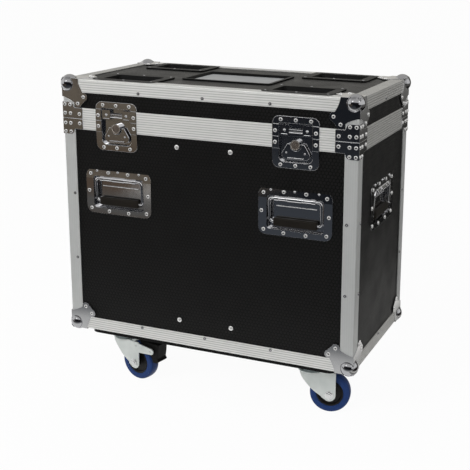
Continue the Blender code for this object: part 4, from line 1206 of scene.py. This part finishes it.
edgeRivets = {"lidRise": 0.620, "lidAcross": 0.170, "baseRise": 0.0266, "baseAcross": 0.175,
              "uprightRises": (0.358, 0.1895), "longIn": 0.0236, "endIn": 0.0265, "scale": 0.88}
spots = {"lid": [], "base": []}
for _, turn in allTurns:
    ends = turn in (90, -90)
    for place in (0,) if ends else (-1, 0, 1):
        for body in ("lid", "base"):
            across, rise = place * edgeRivets[f"{body}Across"], edgeRivets[f"{body}Rise"]
            spots[body].append(onFace(turn, across, case["bottom"] + rise))
    reach = halfDepth - edgeRivets["endIn"] if ends else halfWidth - edgeRivets["longIn"]
    for sign in (-1, 1):
        for rise in edgeRivets["uprightRises"]:
            spots["base"].append(onFace(turn, sign * reach, case["bottom"] + rise))
for body in ("lid", "base"):
    # their heads take the darker chrome and their middles the bright rivet finish: painted shade around a
    # painted highlight
    setRivets(f"{body}EdgeRivets", spots[body], body, edgeRivets["scale"], "shadedChrome", "rivet")
print("edge rivets done")


# dividers inside, held by large dome screws

divider = {"across": 0.070, "thick": 0.009, "round": 0.0012, "screwRises": (0.064, 0.499), "head": 0.0060,
           "flatness": 0.42, "slotHalf": 0.0030, "slotWide": 0.0005, "slotFloor": 0.0012, "slotTop": 0.006,
           "slotTurns": (20, 110)}


def buildScrewHead():
    # a flattened dome with a crossed drive
    size, half, wide = 0.01, divider["slotHalf"], divider["slotWide"]
    head = addBall("screwPattern", divider["head"], segments=28, rings=14)
    head.data.transform(Matrix.Diagonal((1, 1, divider["flatness"], 1)))
    carve(head, addBlock("under", (-size, -size, -size), (size, size, 0)))
    for angle in divider["slotTurns"]:
        slot = addBlock("driveSlot", (-half, -wide, divider["slotFloor"]), (half, wide, divider["slotTop"]))
        slot.data.transform(Matrix.Rotation(math.radians(angle), 4, "Z"))
        carve(head, slot)
    smooth(head)
    return head


screwPattern = buildScrewHead()
for side, sign in sides:
    node = f"divider_{side}"
    low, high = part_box(node)
    middle, half, reach = sign * divider["across"], divider["thick"] / 2, halfDepth - edging["innerFace"]
    board = addBlock(f"dividerBoard_{side}", (middle - half, -reach, low[2]), (middle + half, reach, high[2]))
    soften(board, divider["round"], 3)
    dress(board, "plywood", "base", node)
    heads = []
    for rise in divider["screwRises"]:
        for _, turn in faceTurns:
            spot, facing = onFace(turn, middle, case["bottom"] + rise, -panelFace)
            heads.append(copyTo(screwPattern, "screwHead", Matrix.Translation(spot) @ facing))
    dress(joinPieces(f"dividerScrews_{side}", heads), "rivet", "base")
dropPieces(screwPattern)
print("dividers done")


# castor cups and the label dish

cup = {"across": 0.224, "back": 0.128, "length": 0.172, "width": 0.118, "rivetIn": 0.010, "lip": 0.0015,
       "rivetScale": 0.62}
lidDishes = [(f"castor_cup_{face}_{side}", f"castorCup_{face}_{side}", 0.0005, "blackMoulding", "black_cup")
             for face, _ in faceTurns for side, _ in sides]
lidDishes += [("label_dish", "labelDish", 0.0005, "blackMoulding", "black_cup"),
              ("label_plate", "labelSheet", 0.00025, "labelSheet", "label")]
for node, name, width, finish, slot in lidDishes:
    piece = carryOver(node, name)
    soften(piece, width)
    dress(piece, finish, "lid", node)
for name, sideX, sideY in corners:
    reachX, reachY = cup["length"] / 2 - cup["rivetIn"], cup["width"] / 2 - cup["rivetIn"]
    middle = Vector((sideX * cup["across"], sideY * cup["back"], case["top"] + cup["lip"]))
    spots = [(middle + Vector((a * reachX, b * reachY, 0)), asMade) for a in (-1, 0, 1) for b in (-1, 1)]
    # their heads take the darker chrome and their middles the pale chrome: painted shade around a painted
    # highlight
    setRivets(f"castorCupRivets_{name}", spots, "lid", cup["rivetScale"], "shadedChrome", "bead")
print("lid dishes done")


# castors

castor = {"across": 0.2585, "back": 0.137, "trail": 0.046, "axle": 0.050, "legGap": 0.039, "leg": 0.003,
          "crown": 0.1085, "crownRadius": 0.034, "tip": 0.0155, "backEdge": -0.027,
          "crease": (0.0240, 0.0285), "press": 0.0034, "pin": (0.103, 0.093), "hole": 0.0016,
          "holes": ((-0.050, 0.0045), (-0.002, 0.0)), "armEnd": 0.008, "armRoot": (0.034, 0.030),
          "plate": 0.003, "plateRound": 0.0009, "roof": 0.030, "roofIn": 0.0004, "rod": 0.005, "sunk": 0.0004,
          "legEdge": 0.0007, "roofEdge": 0.0006, "studEdge": 0.0004, "past": 0.002,
          "swivels": {"front_left": -12.0, "front_right": 12.0, "rear_left": 8.0, "rear_right": 172.0},
          "braked": ("front_left", "rear_right")}
# the leg's bowed back edge, from the crown down to the tip
legBow = ((-0.0255, 0.1005), (-0.0225, 0.0930), (-0.0170, 0.0845), (-0.0090, 0.0745), (0.0005, 0.0635),
          (0.0085, 0.0565), (0.0180, 0.0500), (0.0280, 0.0435))
# half profiles, as radius and place along the axle
tyreHalf = ((0.0325, -0.0128), (0.0345, -0.0150), (0.0450, -0.0150), (0.0472, -0.0138), (0.0488, -0.0115),
            (0.0497, -0.0070), (0.0500, -0.0025))
hubHalf = ((0.0058, -0.0184), (0.0115, -0.0184), (0.0120, -0.0178), (0.0120, -0.0120), (0.0150, -0.0100),
           (0.0270, -0.0100), (0.0290, -0.0135), (0.0310, -0.0145), (0.0330, -0.0140), (0.0335, -0.0120))
# the outline of the brake pedal, which then follows the tyre
pedalEdge = ((0.1135, 0.0605), (0.1215, 0.067), (0.117, 0.073), (0.120, 0.090), (0.1215, 0.112),
             (0.059, 0.112))
pedal = {"half": 0.017, "clear": 0.056, "round": 0.0018}
# washer, nut and axle end, each with its radius, how far it stands out and its sides
axleStuds = (("washer", 0.0104, 0.0008, 32), ("axleNut", 0.0086, 0.0034, 6), ("axleEnd", 0.0048, 0.0048, 20))


def spinHalf(name, half, steps):
    # a profile and its mirror, carried round the axle
    centre = (castor["trail"], 0, castor["axle"])
    profile = list(half) + [(radius, -along) for radius, along in reversed(half)]
    ring = traceOutline(name, [(centre[0] + radius, along, centre[2]) for radius, along in profile], False)
    editAll(ring)
    bpy.ops.mesh.spin(steps=steps, angle=math.tau, center=centre, axis=(0, 1, 0))
    leaveEdit()
    faceOut(ring, 0.00003)
    smooth(ring)
    return ring


def buildLeg(sign, withBrake):
    trail, axle, crown = castor["trail"], castor["axle"], castor["crown"]
    inner = castor["legGap"] / 2
    outer = inner + castor["leg"]
    outline = [(castor["backEdge"], crown)] + list(legBow)
    outline += arcPoints((trail, axle), castor["tip"], -124, 0, 12) + [(trail + castor["tip"], crown)]
    leg = cutPlate("leg", [(a, sign * inner, b) for a, b in outline], (0, sign * castor["leg"], 0))
    if withBrake:
        pinX, pinZ = castor["pin"]
        rootX, rootWidth = castor["armRoot"]
        arm = [(rootX, crown - rootWidth)]
        arm += arcPoints((pinX, pinZ), castor["armEnd"], -90, 90, 10) + [(rootX, crown)]
        weld(leg, cutPlate("arm", [(a, sign * inner, b) for a, b in arm], (0, sign * castor["leg"], 0)))
        for a, b in castor["holes"]:
            ends = [(pinX + a, sign * y, pinZ + b) for y in (inner - castor["past"], outer + castor["past"])]
            carve(leg, addRod("armHole", castor["hole"], *ends, 16))
    faceOut(leg)
    # the plate is pressed outwards past an upright crease
    for place in castor["crease"]:
        cutAcross(leg, (place, 0, 0), (1, 0, 0))
    selectFaces(leg, lambda c, n: c.x > castor["crease"][1])
    bpy.ops.transform.translate(value=(0, sign * castor["press"], 0))
    leaveEdit()
    faceOut(leg)
    roundEdges(leg, castor["legEdge"])
    paint(leg, "zinc")
    pieces = [leg]
    face = outer + castor["press"]
    for label, radius, reach, count in axleStuds:
        ends = [(trail, sign * y, axle) for y in (face - castor["sunk"], face + reach)]
        stud = addRod(label, radius, *ends, count)
        roundEdges(stud, castor["studEdge"])
        paint(stud, "bolt")
        pieces.append(stud)
    return pieces


def buildFork(withBrake):
    # two legs below a crown plate with a rolled edge
    trail, axle, crown = castor["trail"], castor["axle"], castor["crown"]
    outer = castor["legGap"] / 2 + castor["leg"]
    pieces = buildLeg(-1, withBrake) + buildLeg(1, withBrake)
    thick, half = castor["plate"], outer - castor["roofIn"]
    plate = addDisc("crownPlate", castor["crownRadius"], thick, (0, 0, crown - thick / 2), 64)
    roundEdges(plate, castor["plateRound"], 3)
    roof = addBlock("roof", (0, -half, crown - thick), (castor["roof"], half, crown - castor["roofIn"]))
    roundEdges(roof, castor["roofEdge"])
    for piece in (plate, roof):
        paint(piece, "zinc")
    rod = addRod("axleRod", castor["rod"], (trail, -outer, axle), (trail, outer, axle), 20)
    pieces += [plate, roof, rod]
    fork = joinPieces("forkPattern", pieces)
    smooth(fork)
    return fork


def buildPedal():
    outline = list(pedalEdge) + arcPoints((castor["trail"], castor["axle"]), pedal["clear"], 76, 10, 14)
    piece = cutPlate("pedalPattern", [(a, -pedal["half"], b) for a, b in outline], (0, 2 * pedal["half"], 0))
    soften(piece, pedal["round"], 3, 30)
    return piece


tyrePattern = spinHalf("tyrePattern", tyreHalf, 64)
hubPattern = spinHalf("hubPattern", hubHalf, 48)
forkPatterns = {kind: buildFork(kind) for kind in (False, True)}
pedalPattern = buildPedal()
for name, sideX, sideY in corners:
    matrix = turned(castor["swivels"][name], (castor["across"] * sideX, castor["back"] * sideY, 0))
    wheel, fork, brake = (f"{part}_{name}" for part in ("castor_wheel", "castor_fork", "brake_pedal"))
    braked = name in castor["braked"]
    dress(copyTo(tyrePattern, f"castorTyre_{name}", matrix), "tyre", wheel, wheel)
    dress(copyTo(hubPattern, f"castorHub_{name}", matrix), "hub", wheel)
    dress(copyTo(forkPatterns[braked], f"castorFork_{name}", matrix), None, fork, fork)
    if braked:
        dress(copyTo(pedalPattern, f"brakePedal_{name}", matrix), "pedal", brake, brake)
dropPieces(tyrePattern, hubPattern, pedalPattern, *forkPatterns.values(), rivetPattern)
print("castors done")


# floor, lights and camera

def seenDirectly(tree):
    # by the camera, or in a mirror or glass
    rays = addNode(tree, "LightPath", {})
    mirrored = signal(rays, "Is Glossy Ray").greater(signal(rays, "Is Transmission Ray"))
    return signal(rays, "Is Camera Ray").greater(mirrored)


def stageFinish(name, colour, shown):
    # the camera and mirrors see this surface nearly as bright as its own share of white
    finish, tree, shader = newFinish(name)
    feedAll(shader, {"Base Color": colour, "Roughness": 0.9, "Specular IOR Level": 0.0})
    glow = addNode(tree, "Emission", {"Color": (1, 1, 1)})
    blend = addNode(tree, "MixShader", {0: seenDirectly(tree) * shown, 1: signal(shader), 2: signal(glow)})
    feed(tree.nodes["Material Output"].inputs["Surface"], signal(blend))
    return finish


def clothFinish(name, axis, stops):
    # the cloth's colour changes along one axis, from place to place in metres; one number is a grey
    finish, tree, shader = newFinish(name)
    first, last = stops[0][0], stops[-1][0]
    ramp = addNode(tree, "ValToRGB", {"Fac": mapValue(partsOf(tree, "Object")[axis], 0.0, 1.0, first, last)})
    points = ramp.color_ramp.elements
    while len(points) < len(stops):
        points.new(0.5)
    for point, (spot, *colour) in zip(points, stops):
        point.position = (spot - first) / (last - first)
        point.color = (*(colour if len(colour) == 3 else colour * 3), 1.0)
    glow = addNode(tree, "Emission", {"Color": signal(ramp, "Color")})
    feed(tree.nodes["Material Output"].inputs["Surface"], signal(glow))
    return finish


clearSelection()
bpy.ops.mesh.primitive_plane_add(size=60)
floor = settle("studioFloor")
floor.data.materials.append(stageFinish("floorWhite", (0.95, 0.95, 0.95), 0.96))

world = bpy.data.worlds.new("studio")
bpy.context.scene.world = world
world.use_nodes = True
worldLevel = 0.48
feedAll(world.node_tree.nodes["Background"],
        {"Color": (1, 1, 1), "Strength": seenDirectly(world.node_tree) * (1.0 - worldLevel) + worldLevel})

aimedAt = Vector((0, 0, 0.45))
lamps = (
    {"name": "keyLamp", "at": (-1.3, -3.2, 2.4), "size": 1.2, "power": 62},
    {"name": "fillLamp", "at": (3.0, -1.2, 1.8), "size": 0.5, "power": 1.5},
)
for lamp in lamps:
    clearSelection()
    bpy.ops.object.light_add(type="AREA", location=lamp["at"])
    light = bpy.context.object
    light.name = lamp["name"]
    light.data.size = lamp["size"]
    light.data.energy = lamp["power"]
    light.visible_glossy = False
    aim = aimedAt - Vector(lamp["at"])
    light.rotation_euler = aim.to_track_quat("-Z", "Y").to_euler()

# studio cloths and walls, which only the plating and the sheen of other faces see: the axis that
# their colour changes along, their low and high corners, and the places and colours along it
cloths = {
    "clothFront": ("Y", (-6.0, -5.4, 0.0005), (6.0, -0.42, 0.0015), (
        (-5.4, 0.010, 0.012, 0.015), (-3.4, 0.012, 0.0135, 0.017), (-2.8, 0.030, 0.034, 0.040),
        (-1.6, 0.046, 0.052, 0.062), (-0.75, 0.09, 0.095, 0.10), (-0.62, 0.16, 0.165, 0.17),
        (-0.55, 0.44, 0.445, 0.44), (-0.42, 0.60, 0.60, 0.59))),
    "clothFrontRight": ("Y", (0.60, -3.2, 0.0020), (6.0, -0.9, 0.0025), (
        (-3.2, 0.008, 0.009, 0.011), (-0.9, 0.012, 0.013, 0.015))),
    "clothWarmNear": ("Y", (-6.0, -2.45, 0.0020), (-0.85, -1.20, 0.0025), (
        (-2.45, 0.088, 0.062, 0.044), (-1.20, 0.080, 0.058, 0.042))),
    "clothWarmMiddle": ("Y", (-6.0, -3.20, 0.0020), (-1.15, -2.45, 0.0025), (
        (-3.20, 0.115, 0.098, 0.074), (-2.45, 0.088, 0.062, 0.044))),
    "clothWarmFar": ("Y", (-6.0, -5.40, 0.0020), (-1.75, -3.20, 0.0025), (
        (-5.40, 0.150, 0.125, 0.100), (-3.20, 0.115, 0.098, 0.074))),
    "clothRight": ("X", (0.43, -0.42, 0.0005), (6.0, 6.0, 0.0015), (
        (0.43, 0.36, 0.36, 0.35), (0.505, 0.36, 0.36, 0.345), (0.53, 0.95, 0.93, 0.90),
        (0.58, 0.90, 0.88, 0.85), (0.60, 0.30, 0.29, 0.28), (0.65, 0.05, 0.049, 0.046),
        (0.80, 0.008), (1.30, 0.020, 0.020, 0.019), (1.80, 0.15, 0.148, 0.14), (6.0, 0.18, 0.178, 0.17))),
    "wallBehind": ("Z", (-6.0, -5.5, 0.0), (6.0, -5.4, 4.5), (
        (0.0, 0.011, 0.012, 0.015), (2.3, 0.014, 0.015, 0.018), (2.7, 0.70), (4.5, 0.90))),
    "wallFar": ("Z", (-8.0, 5.4, 0.0), (0.9, 5.5, 4.5), ((0.0, 0.50, 0.485, 0.45), (4.5, 0.54, 0.53, 0.50))),
    "wallFarRight": ("Z", (0.9, 5.4, 0.0), (6.0, 5.5, 4.5), (
        (0.0, 0.14, 0.138, 0.13), (4.5, 0.16, 0.158, 0.15))),
    "softBoxLeft": ("Z", (-1.95, -3.25, 2.15), (-0.95, -3.20, 3.10), (
        (2.15, 3.0, 3.0, 2.97), (3.10, 2.4, 2.4, 2.38))),
    "softBoxRight": ("Z", (2.50, -2.05, 1.90), (2.55, -1.35, 2.6), (
        (1.90, 2.2, 2.2, 2.18), (2.6, 2.2, 2.2, 2.18))),
    "clothGreySide": ("Y", (-1.28, -2.30, 0.0030), (-1.02, -1.84, 0.0035), (
        (-2.30, 0.10, 0.09, 0.08), (-2.15, 0.38, 0.36, 0.33), (-1.84, 0.24, 0.235, 0.225))),
    "clothGreyNear": ("Y", (-1.55, -1.84, 0.0030), (-0.95, -1.55, 0.0035), (
        (-1.84, 0.085, 0.085, 0.083), (-1.55, 0.085, 0.085, 0.083))),
    "ceilingShade": ("Y", (-3.6, -2.6, 4.30), (0.6, -0.2, 4.40), ((-2.6, 0.45), (-0.2, 0.45))),
    "ceiling": ("Y", (-6.0, -5.4, 4.5), (6.0, 5.4, 4.6), ((-5.4, 0.70), (5.4, 0.66, 0.65, 0.63))),
}
for name, (axis, low, high, stops) in cloths.items():
    piece = addBlock(name, low, high)
    piece.data.materials.append(clothFinish(name, axis, stops))
    piece.visible_camera = False
    piece.visible_diffuse = False
    piece.visible_shadow = False

# the focal length and the shift are in pixels of the whole picture
view = {"pixels": 470, "sensor": 36, "focal": 955.1, "shift": (-60, -60), "azimuth": 21.45, "tilt": 13.23,
        "roll": 0.71, "at": (1.0016, -2.158, 1.0932)}
turn, tilt, roll = (math.radians(view[key]) for key in ("azimuth", "tilt", "roll"))
ahead = Vector((-math.sin(turn) * math.cos(tilt), math.cos(turn) * math.cos(tilt), -math.sin(tilt)))
level = Vector((math.cos(turn), math.sin(turn), 0))
across = math.cos(roll) * level + math.sin(roll) * level.cross(ahead)
upward = across.cross(ahead)
clearSelection()
bpy.ops.object.camera_add(location=view["at"])
camera = bpy.context.object
camera.name = "photoCamera"
camera.data.sensor_width = view["sensor"]
camera.data.lens = view["focal"] / view["pixels"] * view["sensor"]
camera.data.shift_x, camera.data.shift_y = (shift / view["pixels"] for shift in view["shift"])
camera.rotation_euler = Matrix((across, upward, -ahead)).transposed().to_euler()
bpy.context.scene.camera = camera
bpy.context.scene.view_settings.view_transform = "Standard"
print("stage done")
